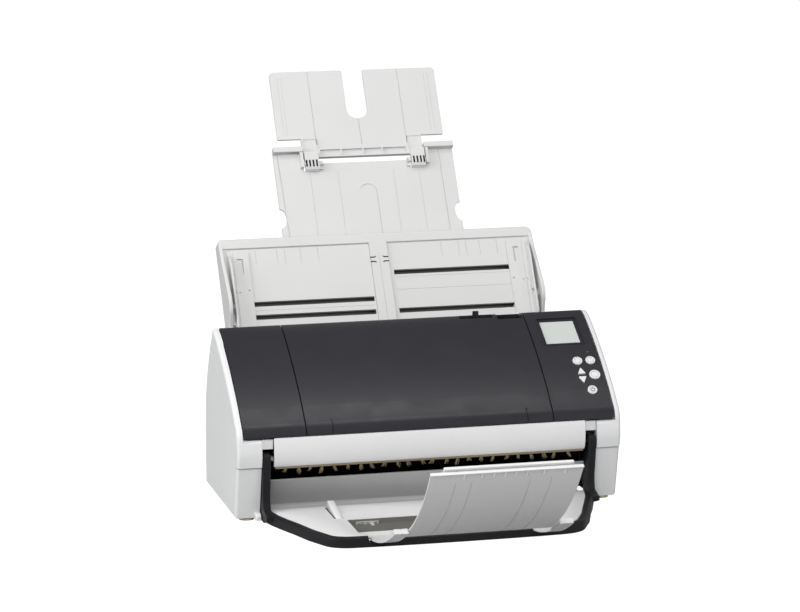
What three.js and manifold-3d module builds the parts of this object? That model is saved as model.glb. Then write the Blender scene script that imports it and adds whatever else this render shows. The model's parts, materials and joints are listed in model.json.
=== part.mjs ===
// Sheet fed document scanner: a wide desktop body with a dark hinged upper unit, a paper chute behind it
// and a stacker in front. Millimetres, +X to the object's right, +Y to the back, +Z up.
// The origin is the middle of the footprint of the whole object, on the desk.
import * as THREE from 'three';
import { mergeVertices } from 'three/addons/utils/BufferGeometryUtils.js';
import Module from 'manifold-3d';

// ---------- driving dimensions ----------
const BODY_HALF = 190; // half of the body's width
const POD_INNER = 165.8; // inner face of each side cover
const RIM_INNER = 184.4; // inner face of the side cover's upstanding edge
const COVER_HALF = 183.4; // half width of the three dark covers
const SEAM = 122.2; // where the dark covers meet
const SEAM_GAP = 0.3; // half of the gap at a seam
const PANEL_HALF = 154.1; // half width of the white front panel
const SKIN = 2.6; // shell thickness
const PATH_ANGLE = 29.1; // slope of the straight paper path, degrees
const PATH_START = [16, 51]; // where the paper leaves, y and z
const CHUTE_ANGLE = 57; // slope of the paper chute, degrees
const CHUTE_START = [180.4, 158.7]; // chute origin, y and z, on its paper surface
const CHUTE_HALF = 162.4; // half width of the chute
const CHUTE_TOP = 89; // upper edge of the chute along its slope
const HINGE = [9, 62]; // common axis of the upper unit and the stacker, y and z
const HINGE_PIN_R = 3;
const PIN_GAP = 0.06; // running clearance of a pin or shaft in its hole
const ROLLER_R = 9; // driven rollers
const ROLLER_DEPTH = -9.2; // roller axis below the paper path
const SHAFT_R = 3;
const SHAFT_END = 157.6;
const SIDE_PLATE = [154.7, 157.7]; // inner side plates of the base frame, in x
const EJECT_AT = 24; // places along the paper path
const SCAN_AT = 64;
const FEED_AT = 106;
const PICK_AT = 150;
const PULLEY_R = 6;
const BELT_X = [159.2, 163.4];
const MOTOR_AT = [75, -56]; // motor axis in the paper path's own frame
const ARC_CENTRE = [-76, 244.5]; // axis of the curved stacker extension, y and z
const ARC_R = 239.5; // outer radius of the first stage
const STAGE_T = 2; // thickness of each stage
const STAGE_GAP = 0.4;
const PAD = 0.35; // gap between parts that only rest or slide on each other
const FRAME_Y = -32; // shift that puts the origin under the middle of the whole object

// ---------- colours ----------
const shades = {
  white: { color: 0xdedfde, roughness: 0.55, metalness: 0 },
  side: { color: 0xd3d5d5, roughness: 0.6, metalness: 0 },
  dark: { color: 0x3b3b40, roughness: 0.42, metalness: 0 },
  black: { color: 0x242427, roughness: 0.5, metalness: 0 },
  lcd: { color: 0xc5cdc2, roughness: 0.15, metalness: 0 },
  glass: { color: 0xbfd0d2, roughness: 0.05, metalness: 0 },
  button: { color: 0xd9d9da, roughness: 0.4, metalness: 0 },
  led: { color: 0x3c8f5a, roughness: 0.3, metalness: 0 },
  rubber: { color: 0x5a5d60, roughness: 0.9, metalness: 0 },
  steel: { color: 0xb4b6ba, roughness: 0.35, metalness: 1 },
  brush: { color: 0x8a7853, roughness: 0.95, metalness: 0 },
  board: { color: 0x2f6b45, roughness: 0.6, metalness: 0 },
  foot: { color: 0x8f8a6e, roughness: 0.9, metalness: 0 },
  gear: { color: 0xe8e6dc, roughness: 0.5, metalness: 0 },
};
function material(shade) {
  return new THREE.MeshStandardMaterial({ ...shades[shade] });
}

// ---------- solids ----------
const wasm = await Module();
wasm.setup();
const AXES_YZX = new THREE.Matrix4().makeBasis(
  new THREE.Vector3(0, 1, 0),
  new THREE.Vector3(0, 0, 1),
  new THREE.Vector3(1, 0, 0),
);

function signedVolume(points, faces) {
  let total = 0;
  const a = new THREE.Vector3();
  const b = new THREE.Vector3();
  const c = new THREE.Vector3();
  for (let i = 0; i < faces.length; i += 3) {
    a.fromArray(points, 3 * faces[i]);
    b.fromArray(points, 3 * faces[i + 1]);
    c.fromArray(points, 3 * faces[i + 2]);
    total += a.dot(b.cross(c));
  }
  return total;
}

// A closed three.js geometry as a manifold solid.
function solid(geometry) {
  const plain = geometry.clone();
  plain.deleteAttribute('normal');
  plain.deleteAttribute('uv');
  const merged = mergeVertices(plain, 1e-4);
  const vertProperties = new Float32Array(merged.attributes.position.array);
  const triVerts = new Uint32Array(merged.index.array);
  if (signedVolume(vertProperties, triVerts) < 0) {
    for (let i = 0; i < triVerts.length; i += 3) {
      const swap = triVerts[i + 1];
      triVerts[i + 1] = triVerts[i + 2];
      triVerts[i + 2] = swap;
    }
  }
  return new wasm.Manifold(new wasm.Mesh({ numProp: 3, vertProperties, triVerts }));
}

function box(x, y, z) {
  const geometry = new THREE.BoxGeometry(x[1] - x[0], y[1] - y[0], z[1] - z[0]);
  geometry.translate((x[0] + x[1]) / 2, (y[0] + y[1]) / 2, (z[0] + z[1]) / 2);
  return solid(geometry);
}

function toShape(outline) {
  return new THREE.Shape(outline.map(([u, v]) => new THREE.Vector2(u, v)));
}

// An outline of [y, z] points carried along x.
function alongX(outline, x0, x1) {
  const geometry = new THREE.ExtrudeGeometry(toShape(outline), { depth: x1 - x0, bevelEnabled: false });
  geometry.translate(0, 0, x0);
  geometry.applyMatrix4(AXES_YZX);
  return solid(geometry);
}

// The same with rounded ends: the outline is drawn in by the bevel first, so its size is kept.
function roundedAlongX(outline, x0, x1, bevel) {
  const options = { depth: x1 - x0 - 2 * bevel, bevelThickness: bevel, bevelSize: bevel, bevelSegments: 2 };
  const geometry = new THREE.ExtrudeGeometry(toShape(inset(outline, bevel)), options);
  geometry.translate(0, 0, x0 + bevel);
  geometry.applyMatrix4(AXES_YZX);
  return solid(geometry);
}

// An outline of [x, y] points carried along z.
function alongZ(outline, z0, z1) {
  const geometry = new THREE.ExtrudeGeometry(toShape(outline), { depth: z1 - z0, bevelEnabled: false });
  geometry.translate(0, 0, z0);
  return solid(geometry);
}

function cylinderX(y, z, radius, x0, x1, segments = 20) {
  const geometry = new THREE.CylinderGeometry(radius, radius, x1 - x0, segments);
  geometry.rotateZ(-Math.PI / 2);
  geometry.translate((x0 + x1) / 2, y, z);
  return solid(geometry);
}

function cylinderZ(x, y, radius, z0, z1, segments = 20) {
  const geometry = new THREE.CylinderGeometry(radius, radius, z1 - z0, segments);
  geometry.rotateX(Math.PI / 2);
  geometry.translate(x, y, (z0 + z1) / 2);
  return solid(geometry);
}

// A turned piece on an axis along x. The profile is a list of [x, radius] from end to end.
function turnedX(y, z, profile, segments = 16) {
  const points = [[profile[0][0], 0], ...profile, [profile[profile.length - 1][0], 0]];
  const geometry = new THREE.LatheGeometry(points.map(([x, r]) => new THREE.Vector2(r, x)), segments);
  geometry.rotateZ(-Math.PI / 2);
  geometry.translate(0, y, z);
  return solid(geometry);
}

function join(...solids) {
  return solids.reduce((whole, next) => whole.add(next));
}

function cut(body, ...tools) {
  return tools.reduce((rest, tool) => rest.subtract(tool), body);
}

// Moves each point of an outline sideways, to the right of its direction of travel.
function offset(points, distance, closed = false) {
  const count = points.length;
  return points.map((point, i) => {
    const before = closed ? points[(i + count - 1) % count] : points[Math.max(i - 1, 0)];
    const after = closed ? points[(i + 1) % count] : points[Math.min(i + 1, count - 1)];
    const inward = new THREE.Vector2(point[0] - before[0], point[1] - before[1]).normalize();
    const outward = new THREE.Vector2(after[0] - point[0], after[1] - point[1]).normalize();
    if (inward.length() === 0) inward.copy(outward);
    if (outward.length() === 0) outward.copy(inward);
    const normal = new THREE.Vector2(inward.y + outward.y, -inward.x - outward.x).normalize();
    const stretch = Math.max(normal.x * inward.y - normal.y * inward.x, 0.5);
    return [point[0] + (normal.x * distance) / stretch, point[1] + (normal.y * distance) / stretch];
  });
}

// Draws a closed outline in by a distance, whichever way round it runs.
function inset(outline, distance) {
  const clockwise = THREE.ShapeUtils.isClockWise(outline.map(([u, v]) => new THREE.Vector2(u, v)));
  return offset(outline, clockwise ? distance : -distance, true);
}

const scanner = new THREE.Group();

function addTo(group, name, shade, body) {
  const { vertProperties, triVerts } = body.getMesh();
  const geometry = new THREE.BufferGeometry();
  geometry.setAttribute('position', new THREE.BufferAttribute(vertProperties, 3));
  geometry.setIndex(new THREE.BufferAttribute(triVerts, 1));
  const mesh = new THREE.Mesh(geometry, material(shade));
  mesh.name = name;
  group.add(mesh);
}

function slopedGroup(start, degrees) {
  const group = new THREE.Group();
  group.position.set(0, start[0], start[1]);
  group.rotation.x = THREE.MathUtils.degToRad(degrees);
  scanner.add(group);
  return group;
}
// Paper path frame: x across, y along the path from the exit to the pick roller, z square to it.
const path = slopedGroup(PATH_START, PATH_ANGLE);
// Chute frame: x across, y up the slope, z out of the paper surface.
const chute = slopedGroup(CHUTE_START, CHUTE_ANGLE);

// A body-frame solid expressed in the paper path's frame, and a path point in the body frame.
function intoPath(body) {
  return body.translate([0, -PATH_START[0], -PATH_START[1]]).rotate([-PATH_ANGLE, 0, 0]);
}
function pathPoint(along, above) {
  const angle = THREE.MathUtils.degToRad(PATH_ANGLE);
  const y = PATH_START[0] + along * Math.cos(angle) - above * Math.sin(angle);
  const z = PATH_START[1] + along * Math.sin(angle) + above * Math.cos(angle);
  return [y, z];
}

// ---------- the body's side view ----------
// Outer line of the dark covers, from the front lower edge up the slope to the ridge.
function coverLine(steps = 5) {
  const line = new THREE.Path();
  line.moveTo(0.5, 84);
  line.quadraticCurveTo(2, 91, 7.5, 95.5);
  line.quadraticCurveTo(12.5, 99.5, 22, 108.8);
  line.quadraticCurveTo(58, 138.3, 100, 160.6);
  line.quadraticCurveTo(110, 165.6, 117, 167.3);
  line.quadraticCurveTo(121.6, 168.2, 121.8, 163);
  return line.getPoints(steps).map((point) => [point.x, point.y]);
}
// Front line of the side covers, from the desk up to the dark covers.
const frontLine = [[15, 3], [3.4, 54], [1.4, 55.2], [-0.8, 65], [-0.6, 72]];
const rearLine = [[125.5, 158.5], [134, 146.5], [146, 127], [159, 90], [161, 60], [161, 3]];

function sideProfile() {
  return [...frontLine, [0.2, 82], ...coverLine(3), ...rearLine];
}
function podProfile() {
  const top = offset(coverLine(2), 8).filter(([y, z]) => y > 14 && z < 147);
  const shoulder = [[0, 79.5], [2.4, 81.6], [8, 82.4]];
  return [...frontLine, ...shoulder, ...top, [112, 149], [128, 149], ...rearLine.slice(1)];
}

function sideCover() {
  const wall = inset(podProfile(), SKIN);
  const outer = join(
    roundedAlongX(sideProfile(), RIM_INNER, BODY_HALF, 2.6),
    alongX(sideProfile(), RIM_INNER, BODY_HALF - 2.6),
    alongX(podProfile(), POD_INNER, BODY_HALF - 4),
  );
  const hollow = alongX(wall, POD_INNER - 1, BODY_HALF - SKIN);
  const boss = cylinderX(HINGE[0], HINGE[1], 7, POD_INNER, BODY_HALF - 2, 24);
  const pinHole = cylinderX(HINGE[0], HINGE[1], HINGE_PIN_R + PAD, POD_INNER - 1, 181, 24);
  const web = box([155.2, POD_INNER + 4], [4.6, 13], [72.6, 80.5]);
  return cut(join(outer.subtract(hollow), boss, web), pinHole);
}

function mirrorX(body) {
  return body.mirror([1, 0, 0]);
}

// ---------- base ----------
function sidePlate() {
  const rearTop = [pathPoint(165, -1.6)[0], pathPoint(160, -1.6)[1]];
  return [[162, 6], [162, 118], rearTop, pathPoint(14, -1.6), [24, 40], [45, 11], [45, 6]];
}

function shaftHole(along, above) {
  const [y, z] = pathPoint(along, above);
  return cylinderX(y, z, SHAFT_R + PIN_GAP, -170, 170, 24);
}

function baseFrame() {
  const plate = alongX(sidePlate(), ...SIDE_PLATE);
  const plates = join(plate, mirrorX(plate));
  const floor = box([-SIDE_PLATE[1], SIDE_PLATE[1]], [45, 162], [6, 9]);
  const rearWall = box([-SIDE_PLATE[1], SIDE_PLATE[1]], [159.2, 162], [6, 60]);
  const lugs = [[45, 57], [138, 152]].map((y) => box([-184, 184], y, [6, 9]));
  const holes = [EJECT_AT, FEED_AT, PICK_AT].map((along) => shaftHole(along, ROLLER_DEPTH));
  holes.push(shaftHole(...MOTOR_AT));
  return cut(join(plates, floor, rearWall, ...lugs), ...holes);
}

function lowerFrontPanel() {
  const line = [[13, 2.8], [44, 2.8], [44, 8], [15.5, 39.5], [12, 39.5], [39, 8.6], [39, 5.4], [13, 5.4]];
  return alongX(line, -156.6, 156.6);
}

function rearCover() {
  const outline = [[163, 4], [187, 4], [190, 8], [190, 92], [177, 124], [163, 124]];
  const shell = cut(
    roundedAlongX(outline, -165.3, 165.3, 2),
    alongX(inset(outline, SKIN), -162.7, 162.7),
    box([-162.7, 162.7], [160, 168], [6.6, 121.4]),
  );
  const vents = [];
  for (let i = 0; i < 12; i += 1) {
    vents.push(box([-70 + i * 7, -66 + i * 7], [180, 200], [58, 86]));
  }
  const inlet = box([94.7, 121.3], [180, 200], [19.7, 40.3]);
  const port = box([69.7, 83.3], [180, 200], [23.7, 36.3]);
  return cut(shell, ...vents, inlet, port);
}

function powerInlet() {
  const shell = cut(box([95, 121], [172, 190.6], [20, 40]), box([98, 118], [176, 195], [23, 37]));
  const pins = [101, 115].map((x) => box([x - 1, x + 1], [175, 186], [28, 32]));
  return join(shell, ...pins, box([107, 109], [175, 186], [25, 29]));
}

function usbPort() {
  const shell = cut(box([70, 83], [174, 190.4], [24, 36]), box([72, 81], [178, 195], [26, 34]));
  return join(shell, box([74.5, 78.5], [176, 187], [28.4, 31.6]));
}

function controlBoard() {
  const board = box([-130, 60], [151, 152.6], [14, 92]);
  const chips = [[-110, 30, 26], [-60, 44, 30], [-20, 26, 18], [20, 50, 22]];
  return join(board, ...chips.map(([x, z, size]) => box([x, x + size], [147.5, 151.5], [z, z + size])));
}

function foot(x, y) {
  return cylinderZ(x, y, 7.5, 0, 3 - PAD, 16);
}

function driveMotor() {
  const [y, z] = pathPoint(...MOTOR_AT);
  const can = turnedX(y, z, [[108, 15], [110, 17], [148, 17], [150, 15], [150, 8], [154.3, 8]], 24);
  const hole = cylinderX(y, z, SHAFT_R + PAD, 140, 160, 24);
  return can.subtract(hole);
}

// Outline round a set of equal circles, such as a belt round its pulleys.
function aroundCircles(centres, radius, steps = 6) {
  const outline = [];
  centres.forEach((centre, i) => {
    const before = centres[(i + centres.length - 1) % centres.length];
    const after = centres[(i + 1) % centres.length];
    const start = Math.atan2(centre[1] - before[1], centre[0] - before[0]) - Math.PI / 2;
    let end = Math.atan2(after[1] - centre[1], after[0] - centre[0]) - Math.PI / 2;
    if (end < start) end += 2 * Math.PI;
    for (let k = 0; k <= steps; k += 1) {
      const angle = start + ((end - start) * k) / steps;
      outline.push([centre[0] + radius * Math.cos(angle), centre[1] + radius * Math.sin(angle)]);
    }
  });
  return outline;
}

function driveBelt() {
  const centres = [MOTOR_AT, [PICK_AT, ROLLER_DEPTH], [EJECT_AT, ROLLER_DEPTH]];
  const outer = alongX(aroundCircles(centres, PULLEY_R + PAD + 1.2), ...BELT_X);
  const inner = alongX(aroundCircles(centres, PULLEY_R + PAD), BELT_X[0] - 1, BELT_X[1] + 1);
  return outer.subtract(inner);
}

// ---------- rollers ----------
// A shaft with evenly spaced rubber tyres and a belt pulley on its right end.
function drivenRoller(along, tyres, tyreWidth) {
  const profile = [[-SHAFT_END, SHAFT_R]];
  for (const x of tyres) {
    profile.push([x - tyreWidth / 2, SHAFT_R], [x - tyreWidth / 2, ROLLER_R]);
    profile.push([x + tyreWidth / 2, ROLLER_R], [x + tyreWidth / 2, SHAFT_R]);
  }
  const pulley = [[BELT_X[0] - 0.4, SHAFT_R], [BELT_X[0] - 0.4, PULLEY_R], [BELT_X[1] + 0.2, PULLEY_R]];
  return turnedX(along, ROLLER_DEPTH, [...profile, ...pulley], 16);
}

function idleRoller(along, above, radius, tyres, tyreWidth, end) {
  const profile = [[-end, 2]];
  for (const x of tyres) {
    profile.push([x - tyreWidth / 2, 2], [x - tyreWidth / 2, radius]);
    profile.push([x + tyreWidth / 2, radius], [x + tyreWidth / 2, 2]);
  }
  return turnedX(along, above, [...profile, [end, 2]], 16);
}

function motorPulley() {
  const profile = [[150.6, SHAFT_R], [BELT_X[0] - 0.4, SHAFT_R], [BELT_X[0] - 0.4, PULLEY_R]];
  return turnedX(...MOTOR_AT, [...profile, [BELT_X[1] + 0.2, PULLEY_R]], 16);
}

const WIDE_TYRES = [-110, -40, 40, 110];
const FEED_TYRES = [-22, 22];
const EXIT_TYRES = [-120, -60, 0, 60, 120];

function lowerPaperGuide() {
  const plate = box([-153.9, 153.9], [3, 168], [-3.6, -1.2]);
  const flange = box([-153.9, 153.9], [3, 5.4], [-6, -1.2]);
  const scanWindow = box([-150.4, 150.4], [SCAN_AT - 8.4, SCAN_AT + 8.4], [-9, 3]);
  const slots = [];
  const window = (along, tyres, width) => tyres.forEach((x) => {
    slots.push(box([x - width / 2 - 1.5, x + width / 2 + 1.5], [along - 10.6, along + 10.6], [-9, 3]));
  });
  window(EJECT_AT, EXIT_TYRES, 16);
  window(FEED_AT, WIDE_TYRES, 22);
  window(PICK_AT, FEED_TYRES, 26);
  return cut(join(plate, flange), scanWindow, ...slots);
}

function scanGlass(bottom) {
  return box([-150, 150], [SCAN_AT - 8, SCAN_AT + 8], [bottom, bottom + 2]);
}

// ---------- upper unit ----------
function darkCover(x0, x1, closedSide) {
  const outer = coverLine();
  const lower = offset(outer, SKIN);
  const shell = alongX([...outer, [121.8, 152], [119.2, 152], ...lower.reverse()], x0, x1);
  if (closedSide === 0) return shell;
  const skirt = [...outer, ...offset(outer, SKIN + 1.2).reverse()];
  const end = closedSide < 0 ? [x0, x0 + 2] : [x1 - 2, x1];
  return join(shell, alongX(skirt, ...end));
}

// A frame that lies on the sloped cover at a given height up the slope.
function onCover(body, y, z, degrees, x = 0) {
  return body.rotate([degrees, 0, 0]).translate([x, y, z]);
}

// Buttons: name, x, place on the slope (y, z of the cover surface), shape and size.
const BUTTONS = [
  { name: 'menu_button', x: 160.5, y: 51.2, size: 4.9, kind: 'round' },
  { name: 'function_button', x: 173.6, y: 51.1, size: 4.9, kind: 'round' },
  { name: 'up_button', x: 161, y: 40.2, size: 4.1, kind: 'up' },
  { name: 'down_button', x: 160.8, y: 31.5, size: 4.1, kind: 'down' },
  { name: 'scan_button', x: 173.7, y: 35.9, size: 5.5, kind: 'round' },
  { name: 'power_button', x: 167.1, y: 21.3, size: 4.8, kind: 'round' },
];
const LCD_AT = [153.4, 87.8]; // middle of the display, x and y
const LCD_HALF = [17.25, 16.2];
const LED_AT = [173.8, 60.8];

function coverHeight(y) {
  const line = coverLine(12);
  for (let i = 1; i < line.length; i += 1) {
    const [y0, z0] = line[i - 1];
    const [y1, z1] = line[i];
    if (y >= y0 && y <= y1) {
      const height = z0 + ((z1 - z0) * (y - y0)) / (y1 - y0);
      return { height, slope: THREE.MathUtils.radToDeg(Math.atan2(z1 - z0, y1 - y0)) };
    }
  }
  return { height: 0, slope: 0 };
}

function buttonOutline(kind, size, grow) {
  const points = [];
  if (kind === 'round') {
    for (let i = 0; i < 20; i += 1) {
      const angle = (i * 2 * Math.PI) / 20;
      points.push([(size + grow) * Math.cos(angle), (size + grow) * Math.sin(angle)]);
    }
    return points;
  }
  const way = kind === 'up' ? 1 : -1;
  const reach = size + 1.4 * grow;
  const corners = [[-reach, -way * reach * 0.9], [reach, -way * reach * 0.9], [0, way * reach * 1.05]];
  return way > 0 ? corners : corners.reverse();
}

function button({ x, y, size, kind }) {
  const { height, slope } = coverHeight(y);
  const cap = alongZ(buttonOutline(kind, size, 0), -SKIN - 1.6, 1.1);
  const collar = alongZ(buttonOutline(kind, size, 0.45), -SKIN - 1.6, -SKIN - 0.9 - PAD);
  return onCover(join(cap, collar), y, height, slope, x);
}

// A block round the display, wider than its glass by a margin.
function onLcd(margin, z) {
  const { height, slope } = coverHeight(LCD_AT[1]);
  const [x, y] = LCD_HALF.map((half) => half + margin);
  return onCover(box([-x, x], [-y, y], z), LCD_AT[1], height, slope, LCD_AT[0]);
}

function operatorPanel() {
  const shell = darkCover(SEAM + SEAM_GAP, COVER_HALF, 1);
  const bezel = onLcd(2.45, [-1.6, 6]);
  const floor = onLcd(5.4, [-5.4, -0.4]);
  const opening = onLcd(PAD, [-9, 6]);
  const holes = BUTTONS.map(({ x, y, size, kind }) => {
    const { height, slope } = coverHeight(y);
    return onCover(alongZ(buttonOutline(kind, size, 0.3), -12, 6), y, height, slope, x);
  });
  const led = coverHeight(LED_AT[1]);
  const ledHole = onCover(cylinderZ(0, 0, 1.35, -9, 6, 12), LED_AT[1], led.height, led.slope, LED_AT[0]);
  const inside = alongX([...coverLine(), [121.8, 60], [0, 60]], SEAM + 1, COVER_HALF - 0.5);
  return cut(join(shell, floor.intersect(inside)), bezel, opening, ...holes, ledHole);
}

function lcdWindow() {
  return onLcd(0, [-4.6, -2.4]);
}

function statusLed() {
  const { height, slope } = coverHeight(LED_AT[1]);
  return onCover(cylinderZ(0, 0, 1, -4.5, 0.3, 12), LED_AT[1], height, slope, LED_AT[0]);
}

function frontPanel() {
  const face = [[1.8, 56], [-0.4, 65], [-0.3, 73], [0.8, 82.6]];
  const back = offset(face, SKIN).reverse();
  return alongX([...face, ...back], -PANEL_HALF, PANEL_HALF);
}

function exitBrush() {
  return alongX([[4.7, 50], [6.3, 50], [6.3, 60], [4.7, 60]], -146, 146);
}

// Chassis of the upper unit in the paper path's frame: paper plate, side walls and two cross ribs.
function upperPaperGuide() {
  const plate = box([-149, 149], [6, 118], [1.2, 3.6]);
  const underSkin = offset(coverLine(2), 9).filter(([y, z]) => y > 20 && z < 146).reverse();
  const wallLine = [pathPoint(6, 1.2), pathPoint(118, 1.2), [118, 146], ...underSkin, [10, 70]];
  const wall = intoPath(alongX(wallLine, 149.3, 152.3));
  const walls = join(wall, mirrorX(wall));
  const ear = intoPath(cylinderX(...HINGE, 5.6, 149.3, 152.3, 24));
  const bridge = intoPath(alongX([[9, 56.6], [19, 60], [24, 72], [14, 76], [7, 67]], 149.3, 152.3));
  const strip = box([-152.3, 152.3], [6, 118], [1.2, 3.6]);
  const windows = [];
  windows.push(box([-150.4, 150.4], [SCAN_AT - 8.4, SCAN_AT + 8.4], [-3, 9]));
  for (const x of EXIT_TYRES) {
    windows.push(box([x - 8, x + 8], [EJECT_AT - 8.6, EJECT_AT + 8.6], [-3, 9]));
  }
  windows.push(box([-45, 45], [FEED_AT - 9.6, FEED_AT + 9.6], [-3, 9]));
  const ribs = [[44, 46], [84, 86]].map(([s0, s1]) => {
    const rib = box([-151, 151], [s0, s1], [2, 60]);
    return rib.intersect(intoPath(alongX(wallLine, -151, 151)));
  });
  const roller = (along, above, end) => cylinderX(along, above, 2 + PIN_GAP, -end, end, 20);
  const cheeks = [];
  for (const x of [-52, 49]) {
    cheeks.push(box([x, x + 3], [FEED_AT - 6, 118], [2.4, 15]));
  }
  const pinHole = intoPath(cylinderX(...HINGE, HINGE_PIN_R + PIN_GAP, -170, 170, 24));
  const earBoth = join(ear, bridge, mirrorX(ear), mirrorX(bridge));
  return cut(
    join(plate, strip, walls, earBoth, ...ribs, ...cheeks),
    ...windows,
    pinHole,
    roller(EJECT_AT, 7.3, 170),
    roller(FEED_AT, 9.3, 60),
  );
}

function hingePin() {
  return turnedX(...HINGE, [[146.8, 4.4], [148.6, 4.4], [148.6, HINGE_PIN_R], [180, HINGE_PIN_R]], 24);
}

// ---------- chute ----------
const SLOT_LEFT = [18.4, 4.4]; // the paper guides' slots, up the slope
const SLOT_RIGHT = [46, 4.4];
const SLOT_HALF = 2.6;

function chuteFrame() {
  const plate = box([-158.6, 158.6], [-27, CHUTE_TOP], [-3, 0]);
  const top = box([-CHUTE_HALF, CHUTE_HALF], [78.5, CHUTE_TOP], [-3, 1.5]);
  const wallLine = [[-20, -16], [CHUTE_TOP, -16], [CHUTE_TOP, 0], [84, 1.5], [63, 5.5], [22, 18.5],
    [13, 19.2], [3, 15], [-6, 5.5], [-20, 2]];
  const walls = [-CHUTE_HALF, CHUTE_HALF - 3.8].map((x) => alongX(wallLine, x, x + 3.8));
  const rib = box([-8.6, 8.6], [24, CHUTE_TOP - 2], [-1, 0.8]);
  const slots = [];
  for (const up of SLOT_LEFT) {
    slots.push(box([-138.5, -10], [up - SLOT_HALF, up + SLOT_HALF], [-9, 9]));
  }
  for (const up of SLOT_RIGHT) {
    slots.push(box([13.6, 138.5], [up - SLOT_HALF, up + SLOT_HALF], [-9, 9]));
  }
  return cut(join(plate, top, ...walls, rib), ...slots);
}

function chuteRearCover() {
  const back = box([-158.2, 158.2], [-16, CHUTE_TOP - 0.5], [-18, -15.6]);
  const rails = [-157.9, 96.2].map((x) => box([x, x + 61.7], [CHUTE_TOP - 7, CHUTE_TOP - 0.5], [-16, -3.4]));
  const sides = [-158.2, 155.8].map((x) => box([x, x + 2.4], [-16, CHUTE_TOP - 0.5], [-16, -3.4]));
  const pivot = cylinderZ(0, RACK_MIDDLE, 1.8, -16, -8.6, 16);
  return join(back, ...rails, ...sides, pivot);
}

const RACK_MIDDLE = (SLOT_LEFT[0] + SLOT_LEFT[1]) / 2;
const RACK_Z = [-13.6, -10.6];
const PINION_TEETH = 10;
const PINION_R = 6; // rolling radius
const TOOTH_PITCH = (2 * Math.PI * PINION_R) / PINION_TEETH;
const TOOTH_WIDTH = 0.32 * TOOTH_PITCH;
const TOOTH_REACH = 0.8;

function guidePinion() {
  const core = cylinderZ(0, 0, PINION_R - TOOTH_REACH - 0.25, RACK_Z[0] + 0.1, RACK_Z[1] - 0.1, 24);
  const teeth = [];
  const root = PINION_R - TOOTH_REACH - 0.6;
  const tip = PINION_R + TOOTH_REACH;
  const half = TOOTH_WIDTH / 2;
  const outline = [[root, -half * 1.2], [tip, -half * 0.5], [tip, half * 0.5], [root, half * 1.2]];
  for (let i = 0; i < PINION_TEETH; i += 1) {
    const tooth = alongZ(outline, RACK_Z[0] + 0.1, RACK_Z[1] - 0.1);
    teeth.push(tooth.rotate([0, 0, 90 + (i * 360) / PINION_TEETH]));
  }
  const bore = cylinderZ(0, 0, 1.8 + PIN_GAP, -20, 0, 16);
  return join(core, ...teeth).subtract(bore).translate([0, RACK_MIDDLE, 0]);
}

// A rack whose teeth face the pinion. side is 1 for the upper rack, -1 for the lower one.
function rack(side, x0, x1, toothed) {
  const near = PINION_R + TOOTH_REACH + 0.3;
  const bar = box([x0, x1], [0, 3.2], RACK_Z).translate([0, near, 0]);
  const half = TOOTH_WIDTH / 2;
  const teeth = [];
  const base = near + 0.4;
  const tip = PINION_R - TOOTH_REACH;
  for (let k = Math.ceil(toothed[0] / TOOTH_PITCH); k <= toothed[1] / TOOTH_PITCH; k += 1) {
    const x = (k - 0.5) * TOOTH_PITCH;
    const root = half * 1.2;
    const crest = half * 0.5;
    teeth.push(alongZ([[x - root, base], [x - crest, tip], [x + crest, tip], [x + root, base]], ...RACK_Z));
  }
  const whole = join(bar, ...teeth);
  const placed = side > 0 ? whole : whole.mirror([0, 1, 0]);
  return placed.translate([0, RACK_MIDDLE, 0]);
}

const GUIDE_TRAVEL = 113.5; // how far each paper guide moves in

// The left guide: base plate, upright wall, and a tab that passes through the slot to its rack.
function sideGuide(side) {
  const slot = side < 0 ? SLOT_LEFT[0] : SLOT_RIGHT[1];
  const base = box([133.4, 155], [-20, 75], [0.35, 1.7]);
  const wall = box([153, 155], [-20, 71], [0.35, 13]);
  const brace = box([153, 158], [-4, 8], [0.35, 3.4]);
  const tab = box([133.8, 137.2], [slot - 1.4, slot + 1.4], [-10.2, 1]);
  const opening = box([140, 142], [51, 66], [-1, 3]);
  const whole = cut(join(base, wall, brace, tab), opening);
  return side < 0 ? mirrorX(whole) : whole;
}

function chuteExtensionOne() {
  const outline = [[-94, 57], [94, 57], [94, 101], [89, 105], [88, 111], [89, 118], [94, 122], [94, 186.6],
    [63.6, 186.6], [63.6, 162.4], [47.6, 162.4], [47.6, 170.4], [-47.6, 170.4], [-47.6, 162.4],
    [-63.6, 162.4], [-63.6, 186.6], [-94, 186.6], [-94, 122], [-89, 118], [-88, 111], [-89, 105], [-94, 101]];
  const sheet = alongZ(outline, -7.4, -5);
  const lips = [-94, 63.6].map((x) => box([x, x + 30.4], [182.8, 186.6], [-7, -1.6]));
  const pins = [-1, 1].map((side) => {
    const x = side > 0 ? [44, 47.6] : [-47.6, -44];
    const lug = box(x, [161, FOLD_UP], [-7, -1]);
    const round = cylinderX(FOLD_UP, FOLD_OUT, 3, ...x, 20);
    const stub = cylinderX(FOLD_UP, FOLD_OUT, 1.6, ...(side > 0 ? [47, 66] : [-66, -47]), 16);
    const post = box(side > 0 ? [63.9, 67] : [-67, -63.9], [FOLD_UP - 4, 184], [-7, 0.6]);
    return join(lug, round, stub, post);
  });
  const ribs = [-70, -30, 30, 70].map((x) => box([x - 0.7, x + 0.7], [60, 160], [-8.2, -7]));
  return join(sheet, ...lips, ...pins, ...ribs);
}

const FOLD_UP = 169; // hinge axis between the two extensions, up the slope and out of it
const FOLD_OUT = -1.2;

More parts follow.
